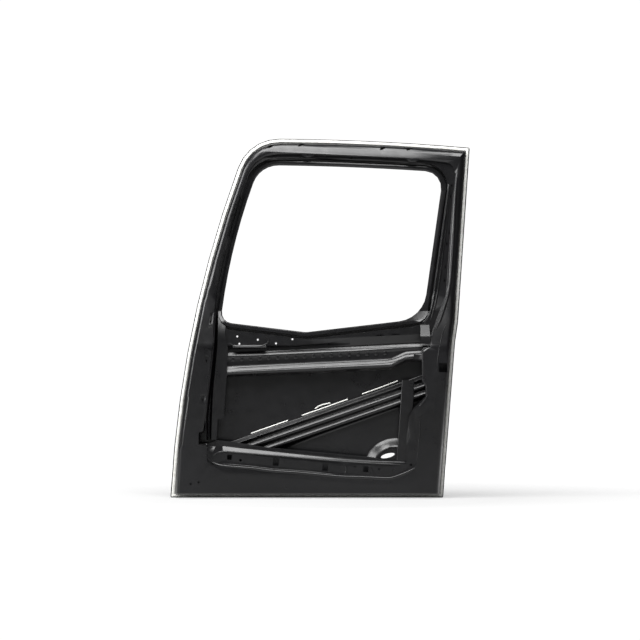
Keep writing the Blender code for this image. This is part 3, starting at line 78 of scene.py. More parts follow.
# Pressed beads and rolled edges, as the photograph shows them: radius in metres, the sheets they
# are pressed into, and the pixels they run through
PRESSED_BEADS = {
    "ledge_edge": (
        0.0036,
        ("inner_panel",),
        (
            (212.6, 456.4),
            (215.4, 452.6),
            (222.0, 450.8),
            (243.0, 452.8),
            (289.5, 456.6),
            (320.0, 459.6),
            (346.4, 461.6),
            (371.4, 463.2),
            (402.0, 464.6),
        ),
    ),
    "ledge_step": (
        0.0034,
        ("inner_panel",),
        ((343.0, 463.4), (347.6, 464.8), (346.4, 469.6), (344.6, 474.0)),
    ),
    "ledge_fold": (
        0.0030,
        ("inner_panel",),
        ((369.0, 464.8), (372.4, 466.4), (371.6, 471.6), (374.6, 475.6)),
    ),
    "foot_edge": (
        0.0026,
        ("inner_panel",),
        (
            (222.0, 463.6),
            (248.0, 465.6),
            (273.0, 468.9),
            (298.0, 470.4),
            (320.0, 472.5),
            (336.0, 474.2),
        ),
    ),
    "foot_bead": (
        0.0052,
        ("inner_panel",),
        (
            (206.9, 456.0),
            (210.8, 462.3),
            (219.0, 465.5),
            (248.0, 467.5),
            (273.0, 470.8),
            (298.0, 472.4),
            (320.0, 474.5),
            (339.3, 476.4),
            (373.0, 477.5),
            (387.5, 478.6),
            (392.4, 478.0),
            (411.4, 470.4),
            (415.4, 466.8),
        ),
    ),
    "rear_pillar_ridge": (
        0.0050,
        ("inner_panel",),
        (
            (457.8, 172.0),
            (456.8, 180.0),
            (455.3, 200.0),
            (453.1, 248.0),
            (450.9, 280.0),
            (448.9, 293.0),
            (446.9, 300.0),
            (444.9, 306.0),
            (442.9, 312.0),
            (440.9, 318.0),
            (438.9, 324.0),
            (435.4, 330.0),
        ),
    ),
    "rear_run_ridge": (
        0.0038,
        ("guide_frame", "belt_panel"),
        (
            (448.4, 200.0),
            (441.0, 248.0),
            (437.0, 280.0),
            (434.8, 293.0),
            (433.6, 300.0),
            (432.5, 306.0),
            (431.2, 312.0),
            (428.6, 318.0),
            (424.2, 324.0),
        ),
    ),
    "rear_run_bead": (
        0.0032,
        ("guide_frame", "belt_panel"),
        (
            (449.4, 196.0),
            (445.6, 235.0),
            (443.6, 248.0),
            (440.6, 275.0),
            (438.8, 285.0),
            (436.6, 299.6),
            (434.9, 306.0),
            (433.6, 312.0),
            (430.6, 320.0),
        ),
    ),
    "lock_recess_edge": (
        0.0030,
        ("inner_panel",),
        ((427.4, 393.6), (425.6, 399.0), (419.6, 405.4), (415.4, 410.4)),
    ),
    "rear_face_ridge": (0.0020, ("inner_panel",), ((419.8, 415.0), (419.6, 431.6), (416.4, 462.0))),
    "rear_crease": (
        0.0018,
        ("inner_panel",),
        ((448.0, 318.0), (444.6, 326.0), (441.9, 334.8), (439.0, 347.4), (437.2, 360.0), (436.6, 372.0)),
    ),
    "gusset_foot": (0.0030, ("rear_pillar_gusset",), ((422.2, 344.2), (426.0, 344.2), (429.6, 344.2))),
    "pillar_pocket_foot": (0.0018, ("inner_panel",), ((207.6, 327.2), (213.0, 327.2))),
    "mirror_lip": (
        0.0028,
        ("mirror_reinforcement", "belt_panel"),
        (
            (229.5, 343.4),
            (231.6, 346.4),
            (237.0, 347.4),
            (262.0, 346.8),
            (267.0, 344.6),
            (271.6, 340.2),
            (270.0, 336.6),
            (263.0, 335.0),
        ),
    ),
    "upper_rail_crest": (
        0.0020,
        ("belt_rail_inner",),
        ((230.0, 354.8), (320.0, 351.0), (413.0, 346.6)),
    ),
    "lower_rail_crest": (
        0.0020,
        ("belt_rail_inner",),
        ((231.0, 368.2), (320.0, 363.6), (391.3, 360.2), (405.6, 354.6), (419.0, 353.8)),
    ),
    "lower_rail_foot": (
        0.0016,
        ("belt_rail_inner",),
        ((231.0, 371.4), (320.0, 366.8), (391.3, 363.0), (406.2, 357.2), (419.0, 356.2)),
    ),
}

# Stations of a bead: their pitch, the steps of the half round, its rise over its half width, and how
# deep its base sits in the sheet
BEAD_PITCH = 0.012
BEAD_STEPS = 6
BEAD_RISE = 0.8
BEAD_LEAST_RISE = 0.1
BEAD_SINK = 0.0002

# Size of a bead's first and last station, and how much each station further in adds to it
BEAD_END = 0.15
BEAD_GROWTH = 0.28

# Row of embosses along the belt rail, from the front to the rear, and the share of their rise that
# is rounded
EMBOSS_ROW_START = (233.0, 359.6)
EMBOSS_ROW_END = (385.0, 353.2)
EMBOSS_COUNT = 18
EMBOSS_ROUNDING = 0.8

# Lower edge of the header's face, from the front to the rear, its bow, and the roll above it
HEADER_FRONT = (-0.2496, 1.3455)
HEADER_REAR = (0.5324, 1.3104)
HEADER_BOW = 0.009
HEADER_REACH = 0.046
HEADER_ROLL = 0.017
HEADER_CURVE = 6

# Cuts that the roll bends at, as shares of its reach, the share of the bow that they allow for, and
# how far below the face's rear end and in front of its front end they still cut
HEADER_CUTS = (0.02, 0.28, 0.56)
HEADER_CUT_BOW = 0.7
HEADER_CUT_BELOW = 0.03
HEADER_CUT_BEFORE = 0.02

# Shares of the face's length: how far before its front end the roll starts, and how fast it grows
HEADER_LEAD = 0.02
HEADER_GROWTH = 8

# Rows of the photograph at the head, the fold and the foot of the rear pillar's gusset, and how far
# its fold stands towards the cab
GUSSET_ROWS = (325.0, 336.5, 345.0)
GUSSET_FOLD = 0.011

# Radii of the sheets' bends, in metres; the least angle of a bend, in degrees; and the least width
# of the sheets beside it, in radii
BEND_RADII = {"belt_panel": 0.0015, "mirror_reinforcement": 0.0025}
BEND_LEAST_ANGLE = 40.0
BEND_LEAST_WIDTH = 1.1
BEND_SEGMENTS = 3

# Corners closer than this are one, and faces that meet at less than this angle are one flat face
WELD_DISTANCE = 0.00001
FLAT_ANGLE = 0.4

# A plane in front of the whole door, on the cab side, from which places on it are looked up
LOOK_UP_Y = -1.0

# Bends up to these angles shade as soft on beads of sealer, pressed beads and small blocks
SEALER_ANGLE = 60.0
BEAD_ANGLE = 50.0
BLOCK_ANGLE = 35.0

# Colour sockets of a Mix node: its two inputs and its result
MIX_FIRST = 6
MIX_SECOND = 7
MIX_RESULT = 2

# Length of the pulses in hem sealer and mastic, and their height
SEALER_GRAIN = 0.012
MASTIC_GRAIN = 0.006
SEALER_PULSE = 0.0006

# The paper takes the door's shadow within the first distance from the door's foot, and none of it
# from the second on
SHADOW_NEAR = 0.7
SHADOW_FAR = 2.6

# Half sizes of the paper sheets, the backdrop's place, and how far the camera sees
FLOOR_REACH = 3.2
BACKDROP_REACH = 4.5
BACKDROP_PLACE = (0.0, 16.0, 0.7)
CAMERA_FAR = 200.0

# Place, width and height of each lamp, and the place on the door that all of them face
LAMPS = {
    "key_canopy": ((-0.5, -1.7, 3.5), 3.2, 1.9),
    "left_softbox": ((-3.4, -1.2, 1.8), 1.4, 2.2),
    "back_softbox": ((1.2, 3.6, 2.6), 2.6, 1.8),
}
LAMP_AIM = (0.0, 0.0, 0.8)


def at_pixel(column, row):
    """Place on the door, across and up, of a pixel of the photograph."""
    return Vector(((column - FOOT_PIXEL[0]) * PIXEL, (FOOT_PIXEL[1] - row) * PIXEL))


def linear(code):
    """Linear colour of an sRGB hex value."""
    channels = [int(code[i : i + 2], 16) / 255 for i in (1, 3, 5)]
    return [c / 12.92 if c <= 0.04045 else ((c + 0.055) / 1.055) ** 2.4 for c in channels] + [1.0]


def add(tree, kind, links=None, **settings):
    """Adds a node with its settings; links holds a value or another node's socket for each input."""
    node = tree.nodes.new(kind)
    for name, value in settings.items():
        setattr(node, name, value)
    for name, value in (links or {}).items():
        if isinstance(value, bpy.types.NodeSocket):
            tree.links.new(value, node.inputs[name])
        else:
            node.inputs[name].default_value = value
    return node


def new_material(name):
    """A material with its shader, its tree and the place of its pattern."""
    material = bpy.data.materials.new(name)
    material.use_nodes = True
    tree = material.node_tree
    place = add(tree, "ShaderNodeTexCoord").outputs["Object"]
    return material, tree, tree.nodes["Principled BSDF"], place


def dip_primer(finish):
    """Cathodic dip primer, an epoxy film baked on steel: near black and satin, with a fine orange
    peel, the slow waviness of drawn sheet, and a lighter grey on what faces up, partly dust and partly
    painted light from above."""
    material, tree, shader, place = new_material("dip_primer")
    cloud = add(tree, "ShaderNodeTexNoise", {"Vector": place, "Scale": 5.0, "Detail": 4.0})
    streak = add(tree, "ShaderNodeTexNoise", {"Vector": place, "Scale": 26.0, "Detail": 6.0})
    patch = add(
        tree,
        "ShaderNodeMapRange",
        {"Value": cloud.outputs["Fac"], "From Min": 0.35, "From Max": 0.70},
    )
    film = add(
        tree,
        "ShaderNodeMix",
        {
            "Factor": patch.outputs["Result"],
            MIX_FIRST: linear(finish.primer_dark),
            MIX_SECOND: linear(finish.primer_light),
        },
        data_type="RGBA",
    )
    # Up-facing faces are mixed towards a lighter grey: partly a film of dust, partly painted light from
    # the lamps above
    geometry = add(tree, "ShaderNodeNewGeometry")
    normal = add(tree, "ShaderNodeSeparateXYZ", {"Vector": geometry.outputs["Normal"]})
    upward = add(
        tree,
        "ShaderNodeMapRange",
        {"Value": normal.outputs["Z"], "From Min": 0.35, "From Max": 1.0},
    )
    dust_and_sheen_amount = add(
        tree,
        "ShaderNodeMapRange",
        {
            "Value": streak.outputs["Fac"],
            "From Min": 0.35,
            "From Max": 0.70,
            "To Min": finish.dust_and_sheen_least,
            "To Max": finish.dust_and_sheen_most,
        },
    )
    dust_and_sheen_share = add(
        tree,
        "ShaderNodeMath",
        {0: upward.outputs["Result"], 1: dust_and_sheen_amount.outputs["Result"]},
        operation="MULTIPLY",
    )
    coloured = add(
        tree,
        "ShaderNodeMix",
        {
            "Factor": dust_and_sheen_share.outputs["Value"],
            MIX_FIRST: film.outputs[MIX_RESULT],
            MIX_SECOND: linear(finish.dust_and_sheen),
        },
        data_type="RGBA",
    )
    tree.links.new(coloured.outputs[MIX_RESULT], shader.inputs["Base Color"])
    rough = add(
        tree,
        "ShaderNodeMapRange",
        {
            "Value": streak.outputs["Fac"],
            "From Min": 0.30,
            "From Max": 0.75,
            "To Min": finish.primer_roughness - 0.03,
            "To Max": finish.primer_roughness + 0.05,
        },
    )
    tree.links.new(rough.outputs["Result"], shader.inputs["Roughness"])
    shader.inputs["IOR"].default_value = 1.5
    wave = add(
        tree, "ShaderNodeTexNoise", {"Vector": place, "Scale": 1 / finish.wave_size, "Detail": 1.0}
    )
    slow = add(
        tree,
        "ShaderNodeBump",
        {"Height": wave.outputs["Fac"], "Strength": 1.0, "Distance": finish.wave_height},
    )
    peel = add(
        tree, "ShaderNodeTexNoise", {"Vector": place, "Scale": 1 / finish.peel_size, "Detail": 2.0}
    )
    fine = add(
        tree,
        "ShaderNodeBump",
        {
            "Height": peel.outputs["Fac"],
            "Strength": 1.0,
            "Distance": finish.peel_height,
            "Normal": slow.outputs["Normal"],
        },
    )
    tree.links.new(fine.outputs["Normal"], shader.inputs["Normal"])
    return material


def seam_sealer(finish, name, code, grain):
    """Plastisol sealer, white and matt, laid as a bead by a nozzle: faint pulses along it."""
    material, tree, shader, place = new_material(name)
    pulse = add(tree, "ShaderNodeTexNoise", {"Vector": place, "Scale": 1 / grain, "Detail": 3.0})
    shade = add(
        tree,
        "ShaderNodeMapRange",
        {"Value": pulse.outputs["Fac"], "From Min": 0.40, "From Max": 0.75},
    )
    tone = add(
        tree,
        "ShaderNodeMix",
        {
            "Factor": shade.outputs["Result"],
            MIX_FIRST: linear(code),
            MIX_SECOND: linear(finish.sealer_shade),
        },
        data_type="RGBA",
    )
    tree.links.new(tone.outputs[MIX_RESULT], shader.inputs["Base Color"])
    shader.inputs["Roughness"].default_value = 0.6
    shader.inputs["IOR"].default_value = 1.53
    bump = add(
        tree,
        "ShaderNodeBump",
        {"Height": pulse.outputs["Fac"], "Strength": 1.0, "Distance": SEALER_PULSE},
    )
    tree.links.new(bump.outputs["Normal"], shader.inputs["Normal"])
    return material


def studio_paper(settings, name):
    """Matt grey paper, which takes the door's soft shadow, lifted by a glow of its own, so that the
    camera, mirrors and glass see it white. Near the door the glow is weaker, and the shadow shows."""
    material, tree, shader, place = new_material(name)
    shader.inputs["Base Color"].default_value = linear(settings.paper)
    shader.inputs["Roughness"].default_value = 0.95
    shader.inputs["Specular IOR Level"].default_value = 0.0
    path = add(tree, "ShaderNodeLightPath")
    mirrored = add(
        tree,
        "ShaderNodeMath",
        {0: path.outputs["Is Camera Ray"], 1: path.outputs["Is Glossy Ray"]},
        operation="MAXIMUM",
    )
    seen = add(
        tree,
        "ShaderNodeMath",
        {0: mirrored.outputs["Value"], 1: path.outputs["Is Transmission Ray"]},
        operation="MAXIMUM",
    )
    distance = add(tree, "ShaderNodeVectorMath", {0: place}, operation="LENGTH")
    glow = add(
        tree,
        "ShaderNodeMapRange",
        {
            "Value": distance.outputs["Value"],
            "From Min": SHADOW_NEAR,
            "From Max": SHADOW_FAR,
            "To Min": settings.paper_glow,
            "To Max": 1.0,
        },
    )
    strength = add(
        tree,
        "ShaderNodeMath",
        {0: seen.outputs["Value"], 1: glow.outputs["Result"]},
        operation="MULTIPLY",
    )
    shader.inputs["Emission Color"].default_value = (1.0, 1.0, 1.0, 1.0)
    tree.links.new(strength.outputs["Value"], shader.inputs["Emission Strength"])
    return material


def finish_piece(shape, name, material, angle):
    """Makes an object of a finished bmesh and rides it on the door; bends up to the angle are soft."""
    bmesh.ops.recalc_face_normals(shape, faces=shape.faces[:])
    mesh = bpy.data.meshes.new(name)
    shape.to_mesh(mesh)
    shape.free()
    mesh.materials.append(material)
    piece = bpy.data.objects.new(name, mesh)
    bpy.context.scene.collection.objects.link(piece)
    mesh.shade_smooth()
    mesh.set_sharp_from_angle(angle=math.radians(angle))
    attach(piece, BODY)
    return piece


def joined_copy(node):
    """A CAD node's loose triangles as one joined mesh, in the door's own place."""
    source = frame["nodes"][node]
    shape = bmesh.new()
    shape.from_mesh(source.data)
    shape.transform(source.matrix_world)
    bmesh.ops.remove_doubles(shape, verts=shape.verts[:], dist=WELD_DISTANCE)
    bmesh.ops.dissolve_limit(
        shape, angle_limit=math.radians(FLAT_ANGLE), verts=shape.verts[:], edges=shape.edges[:]
    )
    return shape


def roll_header(shape):
    """Rolls the header's face back towards the roof, as the pressed sheet is, from the face's lower
    edge up to the hem. Below the header nothing moves."""
    front = Vector((HEADER_FRONT[0], 0.0, HEADER_FRONT[1] + HEADER_BOW * HEADER_CUT_BOW))
    chord = Vector((HEADER_REAR[0] - HEADER_FRONT[0], 0.0, HEADER_REAR[1] - HEADER_FRONT[1]))
    upright = Vector((-chord.z, 0.0, chord.x)).normalized()
    for share in HEADER_CUTS:
        faces = [
            face
            for face in shape.faces
            if face.calc_center_median().z > HEADER_REAR[1] - HEADER_CUT_BELOW
            and face.calc_center_median().x > HEADER_FRONT[0] - HEADER_CUT_BEFORE
        ]
        parts = {part for face in faces for part in (*face.verts, *face.edges)}
        bmesh.ops.bisect_plane(
            shape,
            geom=[*faces, *parts],
            dist=WELD_DISTANCE,
            plane_co=front + upright * HEADER_REACH * share,
            plane_no=upright,
        )
    for vert in shape.verts:
        across = (vert.co.x - HEADER_FRONT[0]) / chord.x
        if not -HEADER_LEAD < across < 1.0:
            continue
        foot = HEADER_FRONT[1] + chord.z * across + 4 * HEADER_BOW * across * (1 - across)
        share = (vert.co.z - foot) / HEADER_REACH
        if 0.0 < share < 1.0:
            ends = min(1.0, HEADER_GROWTH * (across + HEADER_LEAD), HEADER_GROWTH * (1.0 - across))
            vert.co.y += HEADER_ROLL * ends * share * (1 - share**HEADER_CURVE)


def fold_gusset(shape):
    """Folds the gusset across, so that its head slopes and its foot stands upright."""
    head, fold, foot = (at_pixel(0.0, row).y for row in GUSSET_ROWS)
    bmesh.ops.bisect_plane(
        shape,
        geom=[*shape.verts, *shape.edges, *shape.faces],
        dist=WELD_DISTANCE,
        plane_co=(0.0, 0.0, fold),
        plane_no=(0.0, 0.0, 1.0),
    )
    for vert in shape.verts:
        up = vert.co.z
        share = (up - foot) / (fold - foot) if up < fold else (head - up) / (head - fold)
        vert.co.y -= GUSSET_FOLD * min(1.0, max(0.0, share))


def width_of(face):
    """Rough width of a face: its area over its longest edge."""
    return face.calc_area() / max(edge.calc_length() for edge in face.edges)


def round_bends(shape, radius):
    """Gives the sheet's bends a radius; the cut edges of the sheet stay sharp."""
    bends = []
    for edge in shape.edges:
        if not edge.is_manifold or edge.calc_face_angle() < math.radians(BEND_LEAST_ANGLE):
            continue
        if min(width_of(face) for face in edge.link_faces) > radius * BEND_LEAST_WIDTH:
            bends.append(edge)
    bmesh.ops.bevel(
        shape,
        geom=bends,
        offset=radius,
        segments=BEND_SEGMENTS,
        profile=0.5,
        affect="EDGES",
        clamp_overlap=True,
        material=-1,
    )


def nodes_in(slot):
    """The CAD nodes of a material slot, in the record's order."""
    return [part["node"] for part in frame["record"]["subparts"] if part["material_slot"] == slot]


def cab_side(*nodes):
    """Ray trees of some nodes, to find their cab side."""
    trees = []
    for node in nodes:
        shape = joined_copy(node)
        trees.append(BVHTree.FromBMesh(shape))
        shape.free()
    return trees


def seats_on(trees, line):
    """Places of a line on the cab side of the sheets; points over a hole are left out."""
    places = []
    for point in line:
        start, way = Vector((point.x, LOOK_UP_Y, point.y)), Vector((0.0, 1.0, 0.0))
        found = [tree.ray_cast(start, way)[0] for tree in trees]
        found = [place for place in found if place is not None]
        if found:
            places.append(min(found, key=lambda place: place.y))
    if len(places) * 2 < len(line):
        raise RuntimeError(f"no sheet under a line that starts at {line[0].x:.3f}, {line[0].y:.3f}")
    return places


def softened(line, passes=3):
    """A line of points with its corners eased."""
    for _ in range(passes):
        inner = [(a + b * 2 + c) / 4 for a, b, c in zip(line, line[1:], line[2:])]
        line = [line[0], *inner, line[-1]]
    return line


def along(points):
    """Points set at an even pitch along a line, its corners eased."""
    line = [points[0]]
    for start, end in zip(points, points[1:]):
        steps = max(1, round((end - start).length / BEAD_PITCH))
        line += [start.lerp(end, step / steps) for step in range(1, steps + 1)]
    return softened(line)


def bead_station(places, index, radius):
    """Turn, size and place of a bead's half-round section; the ends run out into the sheet."""
    before, after = places[max(index - 1, 0)], places[min(index + 1, len(places) - 1)]
    way = (after - before).normalized()
    side = way.cross(Vector((0.0, 1.0, 0.0))).normalized()
    out = side.cross(way).normalized()
    if out.y > 0:
        out.negate()
    size = radius * min(1.0, BEAD_END + BEAD_GROWTH * min(index, len(places) - 1 - index))
    room = (places[index].y - CAD_BOX[0][1]) / radius
    rise = max(BEAD_LEAST_RISE, min(BEAD_RISE, room))
    turn = Matrix((side * size, out * size * rise, way * size)).transposed().to_4x4()
    return Matrix.Translation(places[index] - out * BEAD_SINK) @ turn


def sweep_bead(shape, places, radius):
    """Spins a half round at a line's first place, closes it by its base, extrudes it along the
    others and fills both ends. No bead stands prouder than the door's own box."""
    start = shape.verts.new((1.0, 0.0, 0.0))
    spun = bmesh.ops.spin(
        shape,
        geom=[start],
        cent=(0, 0, 0),
        axis=(0, 0, 1),
        dvec=(0, 0, 0),
        angle=math.pi,
        steps=BEAD_STEPS,
    )
    ends = [part for part in spun["geom_last"] if isinstance(part, bmesh.types.BMVert)]
    bmesh.ops.contextual_create(shape, geom=[start, *ends])
    section = shape.edges[:]
    stations = [bead_station(places, index, radius) for index in range(len(places))]
    bmesh.ops.transform(shape, matrix=stations[0], verts=shape.verts[:])
    for last, station in zip(stations, stations[1:]):
        made = bmesh.ops.extrude_edge_only(shape, edges=section)["geom"]
        verts = [part for part in made if isinstance(part, bmesh.types.BMVert)]
        bmesh.ops.transform(shape, matrix=station @ last.inverted(), verts=verts)
        front = set(verts)
        section = [
            part
            for part in made
            if isinstance(part, bmesh.types.BMEdge) and front.issuperset(part.verts)
        ]
    bmesh.ops.holes_fill(shape, edges=shape.edges[:])
    for vert in shape.verts:
        vert.co.y = max(vert.co.y, CAD_BOX[0][1])


class DoorFinish(bpy.types.PropertyGroup):
    """Colours and textures of the door's coatings"""

    primer_dark: bpy.props.StringProperty(
        name="Primer", description="Darker tone of the dip primer", default="#0D0D0E"
    )
    primer_light: bpy.props.StringProperty(
        name="Primer, worn", description="Lighter tone of the dip primer", default="#131315"
    )
    # Lighter grey mixed onto up-facing faces, partly dust and partly painted light from above; the next
    # two set its least and most share
    dust_and_sheen: bpy.props.StringProperty(
        name="Dust", description="Thin film on faces that look up", default="#5A5A59"
    )
    dust_and_sheen_least: bpy.props.FloatProperty(
        name="Dust, least", description="Share of dust in clean places", default=0.02
    )
    dust_and_sheen_most: bpy.props.FloatProperty(
        name="Dust, most", description="Share of dust in dusty places", default=0.14
    )
    sealer: bpy.props.StringProperty(
        name="Sealer", description="Seam sealer on the hem", default="#F4F4F0"
    )
    sealer_shade: bpy.props.StringProperty(
        name="Sealer, shade", description="Darker tone of the sealer", default="#DCDCD6"
    )
    mastic: bpy.props.StringProperty(
        name="Mastic", description="Mastic beside the beam", default="#F0F0EC"
    )
    primer_roughness: bpy.props.FloatProperty(
        name="Primer roughness", description="Satin of the primer", default=0.30
    )
    peel_size: bpy.props.FloatProperty(
        name="Peel size", description="Size of the orange peel", default=0.005, subtype="DISTANCE"
    )
    peel_height: bpy.props.FloatProperty(
        name="Peel height",
        description="Height of the orange peel",
        default=0.00002,
        subtype="DISTANCE",
    )
    wave_size: bpy.props.FloatProperty(
        name="Wave size", description="Length of the sheet's waves", default=0.09, subtype="DISTANCE"
    )
    wave_height: bpy.props.FloatProperty(
        name="Wave height",
        description="Height of the sheet's waves",
        default=0.0005,
        subtype="DISTANCE",
    )


class DoorDetails(bpy.types.PropertyGroup):
    """Sizes of the small pressings"""

    emboss_width: bpy.props.FloatProperty(
        name="Emboss width", description="Width of an emboss", default=0.0120, subtype="DISTANCE"
    )
    emboss_height: bpy.props.FloatProperty(
        name="Emboss height", description="Height of an emboss", default=0.0170, subtype="DISTANCE"
    )
    emboss_rise: bpy.props.FloatProperty(
        name="Emboss rise", description="Rise over the web", default=0.0032, subtype="DISTANCE"
    )
    smooth_angle: bpy.props.FloatProperty(
        name="Smooth angle", description="Bends up to this shade as soft, in degrees", default=42.0
    )


class DoorStage(bpy.types.PropertyGroup):
    """Camera, lamps and paper round the door"""

    paper: bpy.props.StringProperty(
        name="Paper", description="Colour of floor and backdrop", default="#8C8C8C"
    )
    paper_glow: bpy.props.FloatProperty(
        name="Paper glow", description="White added near the door, as seen", default=0.50
    )
    distance: bpy.props.FloatProperty(
        name="Camera distance", description="From the door's plane", default=14.0, subtype="DISTANCE"
    )
    height: bpy.props.FloatProperty(
        name="Camera height", description="Above the floor", default=0.694, subtype="DISTANCE"
    )
    lens: bpy.props.FloatProperty(name="Lens", description="Focal length", default=202.0)
    room_level: bpy.props.FloatProperty(
        name="Room light", description="Level of the room's own light", default=0.075
    )
    key_watts: bpy.props.FloatProperty(
        name="Key", description="Power of the lamp above and left", default=240.0
    )
    left_watts: bpy.props.FloatProperty(
        name="Left", description="Power of the lamp at the front edge's side", default=115.0
    )
    back_watts: bpy.props.FloatProperty(
        name="Back", description="Power of the lamp behind the door", default=60.0
    )


class DOOR_OT_pressings(bpy.types.Operator):
    """Coats every steel pressing with black dip primer, each as one joined sheet"""

    bl_idname = "door.pressings"
    bl_label = "Primed pressings"

    def execute(self, context):
        primer = dip_primer(context.scene.door_finish)
        angle = context.scene.door_details.smooth_angle
        for node in nodes_in(PRIMED_SLOT):
            shape = joined_copy(node)
            if node == "inner_panel":
                roll_header(shape)
            if node == "rear_pillar_gusset":
                fold_gusset(shape)
            if node in BEND_RADII:
                round_bends(shape, BEND_RADII[node])
            piece = finish_piece(shape, f"dipped_{node}", primer, angle)
            flat = piece.modifiers.new("Flat faces", "WEIGHTED_NORMAL")
            flat.keep_sharp = True
            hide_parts(node)
        return {"FINISHED"}


class DOOR_OT_sealer(bpy.types.Operator):
    """Gives the hem's bead and the mastic beads their white"""

    bl_idname = "door.sealer"
    bl_label = "Sealer and mastic"

    def execute(self, context):
        finish = context.scene.door_finish
        white = seam_sealer(finish, "plastisol_sealer", finish.sealer, SEALER_GRAIN)
        hem = joined_copy("hem_sealer")
        bead = finish_piece(hem, "laid_sealer", white, SEALER_ANGLE)
        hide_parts("hem_sealer")
        mastic = seam_sealer(finish, "flutter_mastic", finish.mastic, MASTIC_GRAIN)
        for node in nodes_in(MASTIC_SLOT):
            shape = joined_copy(node)
            bead = finish_piece(shape, f"laid_{node}", mastic, SEALER_ANGLE)
            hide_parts(node)
        return {"FINISHED"}


class DOOR_OT_beads(bpy.types.Operator):
    """Presses the beads and rolled edges that the light catches along ledge, pillar and foot"""

    bl_idname = "door.beads"
    bl_label = "Pressed beads"

    def execute(self, context):
        primer = bpy.data.materials["dip_primer"]
        for name, (radius, nodes, pixels) in PRESSED_BEADS.items():
            trees = cab_side(*nodes)
            line = along([at_pixel(*pixel) for pixel in pixels])
            places = softened(seats_on(trees, line), passes=2)
            shape = bmesh.new()
            sweep_bead(shape, places, radius)
            finish_piece(shape, name, primer, BEAD_ANGLE)
        return {"FINISHED"}


class DOOR_OT_embosses(bpy.types.Operator):
    """Presses the row of small embosses into the belt rail's web; half of each lies in the sheet"""

    bl_idname = "door.embosses"
    bl_label = "Rail embosses"

    def execute(self, context):
        sizes = context.scene.door_details
        start, end = at_pixel(*EMBOSS_ROW_START), at_pixel(*EMBOSS_ROW_END)
        rail = cab_side("belt_rail_inner")
        shape = bmesh.new()
        row = [start.lerp(end, index / (EMBOSS_COUNT - 1)) for index in range(EMBOSS_COUNT)]
        for place in seats_on(rail, row):
            size = Matrix.Diagonal((sizes.emboss_width, sizes.emboss_rise * 2, sizes.emboss_height, 1))
            made = bmesh.ops.create_cube(shape, size=1.0, matrix=Matrix.Translation(place) @ size)
            edges = {edge for vert in made["verts"] for edge in vert.link_edges}
            bmesh.ops.bevel(
                shape,
                geom=list(edges),
                offset=sizes.emboss_rise * EMBOSS_ROUNDING,
                segments=2,
                profile=0.5,
                affect="EDGES",
                material=-1,
            )
        primer = bpy.data.materials["dip_primer"]
        finish_piece(shape, "rail_embosses", primer, BLOCK_ANGLE)
        return {"FINISHED"}


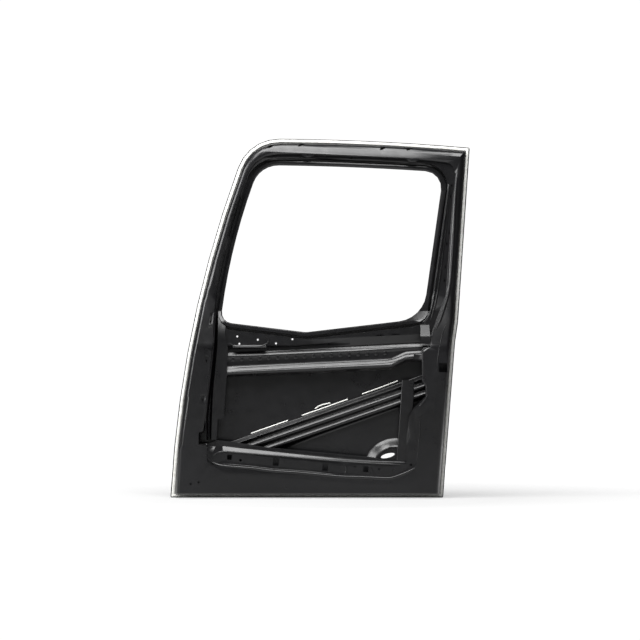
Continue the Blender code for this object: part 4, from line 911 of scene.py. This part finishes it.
class DOOR_OT_stage(bpy.types.Operator):
    """Sets the paper, the lamps, the room and the camera"""

    bl_idname = "door.stage"
    bl_label = "Stage"

    def execute(self, context):
        settings = context.scene.door_stage
        scene = context.scene
        scene.view_settings.view_transform = "Standard"
        upright = Matrix.Translation(BACKDROP_PLACE) @ Matrix.Rotation(math.radians(90), 4, "X")
        paper = studio_paper(settings, "studio_paper")
        self.paper_sheet("studio_floor", paper, Matrix.Identity(4), FLOOR_REACH)
        self.paper_sheet("studio_backdrop", paper, upright, BACKDROP_REACH)
        watts = (settings.key_watts, settings.left_watts, settings.back_watts)
        for (name, sizes), power in zip(LAMPS.items(), watts):
            self.lamp(name, *sizes, power)
        self.room(scene, settings.room_level)
        camera_data = bpy.data.cameras.new("photo_camera")
        camera_data.lens = settings.lens
        camera_data.clip_end = CAMERA_FAR
        camera = bpy.data.objects.new("photo_camera", camera_data)
        scene.collection.objects.link(camera)
        camera.location = (0.0, -settings.distance, settings.height)
        camera.rotation_euler = (math.radians(90), 0.0, 0.0)
        scene.camera = camera
        return {"FINISHED"}

    def room(self, scene, level):
        """Dim even light of the room, white where the camera looks past the paper."""
        world = bpy.data.worlds.new("room")
        scene.world = world
        world.use_nodes = True
        tree = world.node_tree
        path = add(tree, "ShaderNodeLightPath")
        strength = add(
            tree,
            "ShaderNodeMapRange",
            {"Value": path.outputs["Is Camera Ray"], "To Min": level, "To Max": 1.0},
        )
        background = tree.nodes["Background"]
        background.inputs["Color"].default_value = (1.0, 1.0, 1.0, 1.0)
        tree.links.new(strength.outputs["Result"], background.inputs["Strength"])

    def paper_sheet(self, name, material, matrix, reach):
        """A square sheet of paper, part of the stage."""
        shape = bmesh.new()
        bmesh.ops.create_grid(shape, x_segments=1, y_segments=1, size=reach, matrix=matrix)
        mesh = bpy.data.meshes.new(name)
        shape.to_mesh(mesh)
        shape.free()
        mesh.materials.append(material)
        sheet = bpy.data.objects.new(name, mesh)
        bpy.context.scene.collection.objects.link(sheet)

    def lamp(self, name, place, width, height, watts):
        """A rectangular lamp that faces the door."""
        data = bpy.data.lights.new(name, "AREA")
        data.shape = "RECTANGLE"
        data.size, data.size_y = width, height
        data.energy = watts
        lamp = bpy.data.objects.new(name, data)
        bpy.context.scene.collection.objects.link(lamp)
        lamp.location = place
        aim = Vector(LAMP_AIM) - Vector(place)
        lamp.rotation_euler = aim.to_track_quat("-Z", "Y").to_euler()


class DOOR_PT_panel(bpy.types.Panel):
    """Lists the door's pieces and finishes"""

    bl_label = "Door shell"
    bl_idname = "DOOR_PT_panel"
    bl_space_type = "VIEW_3D"
    bl_region_type = "UI"
    bl_category = "Door shell"

    def draw(self, context):
        for name in GROUPS:
            group = getattr(context.scene, name)
            box = self.layout.box()
            for field in group.__annotations__:
                box.prop(group, field)
        for operator in STEPS:
            self.layout.operator(operator.bl_idname)


STEPS = (DOOR_OT_pressings, DOOR_OT_sealer, DOOR_OT_beads, DOOR_OT_embosses, DOOR_OT_stage)
GROUPS = {"door_finish": DoorFinish, "door_details": DoorDetails, "door_stage": DoorStage}


def register():
    for kind in (*GROUPS.values(), *STEPS, DOOR_PT_panel):
        bpy.utils.register_class(kind)
    for name, kind in GROUPS.items():
        setattr(bpy.types.Scene, name, bpy.props.PointerProperty(type=kind))


def unregister():
    for name in GROUPS:
        delattr(bpy.types.Scene, name)
    for kind in (DOOR_PT_panel, *reversed(STEPS), *GROUPS.values()):
        bpy.utils.unregister_class(kind)


def main():
    register()
    bpy.ops.door.pressings()
    bpy.ops.door.sealer()
    bpy.ops.door.beads()
    bpy.ops.door.embosses()
    bpy.ops.door.stage()


if __name__ == "__main__":
    main()
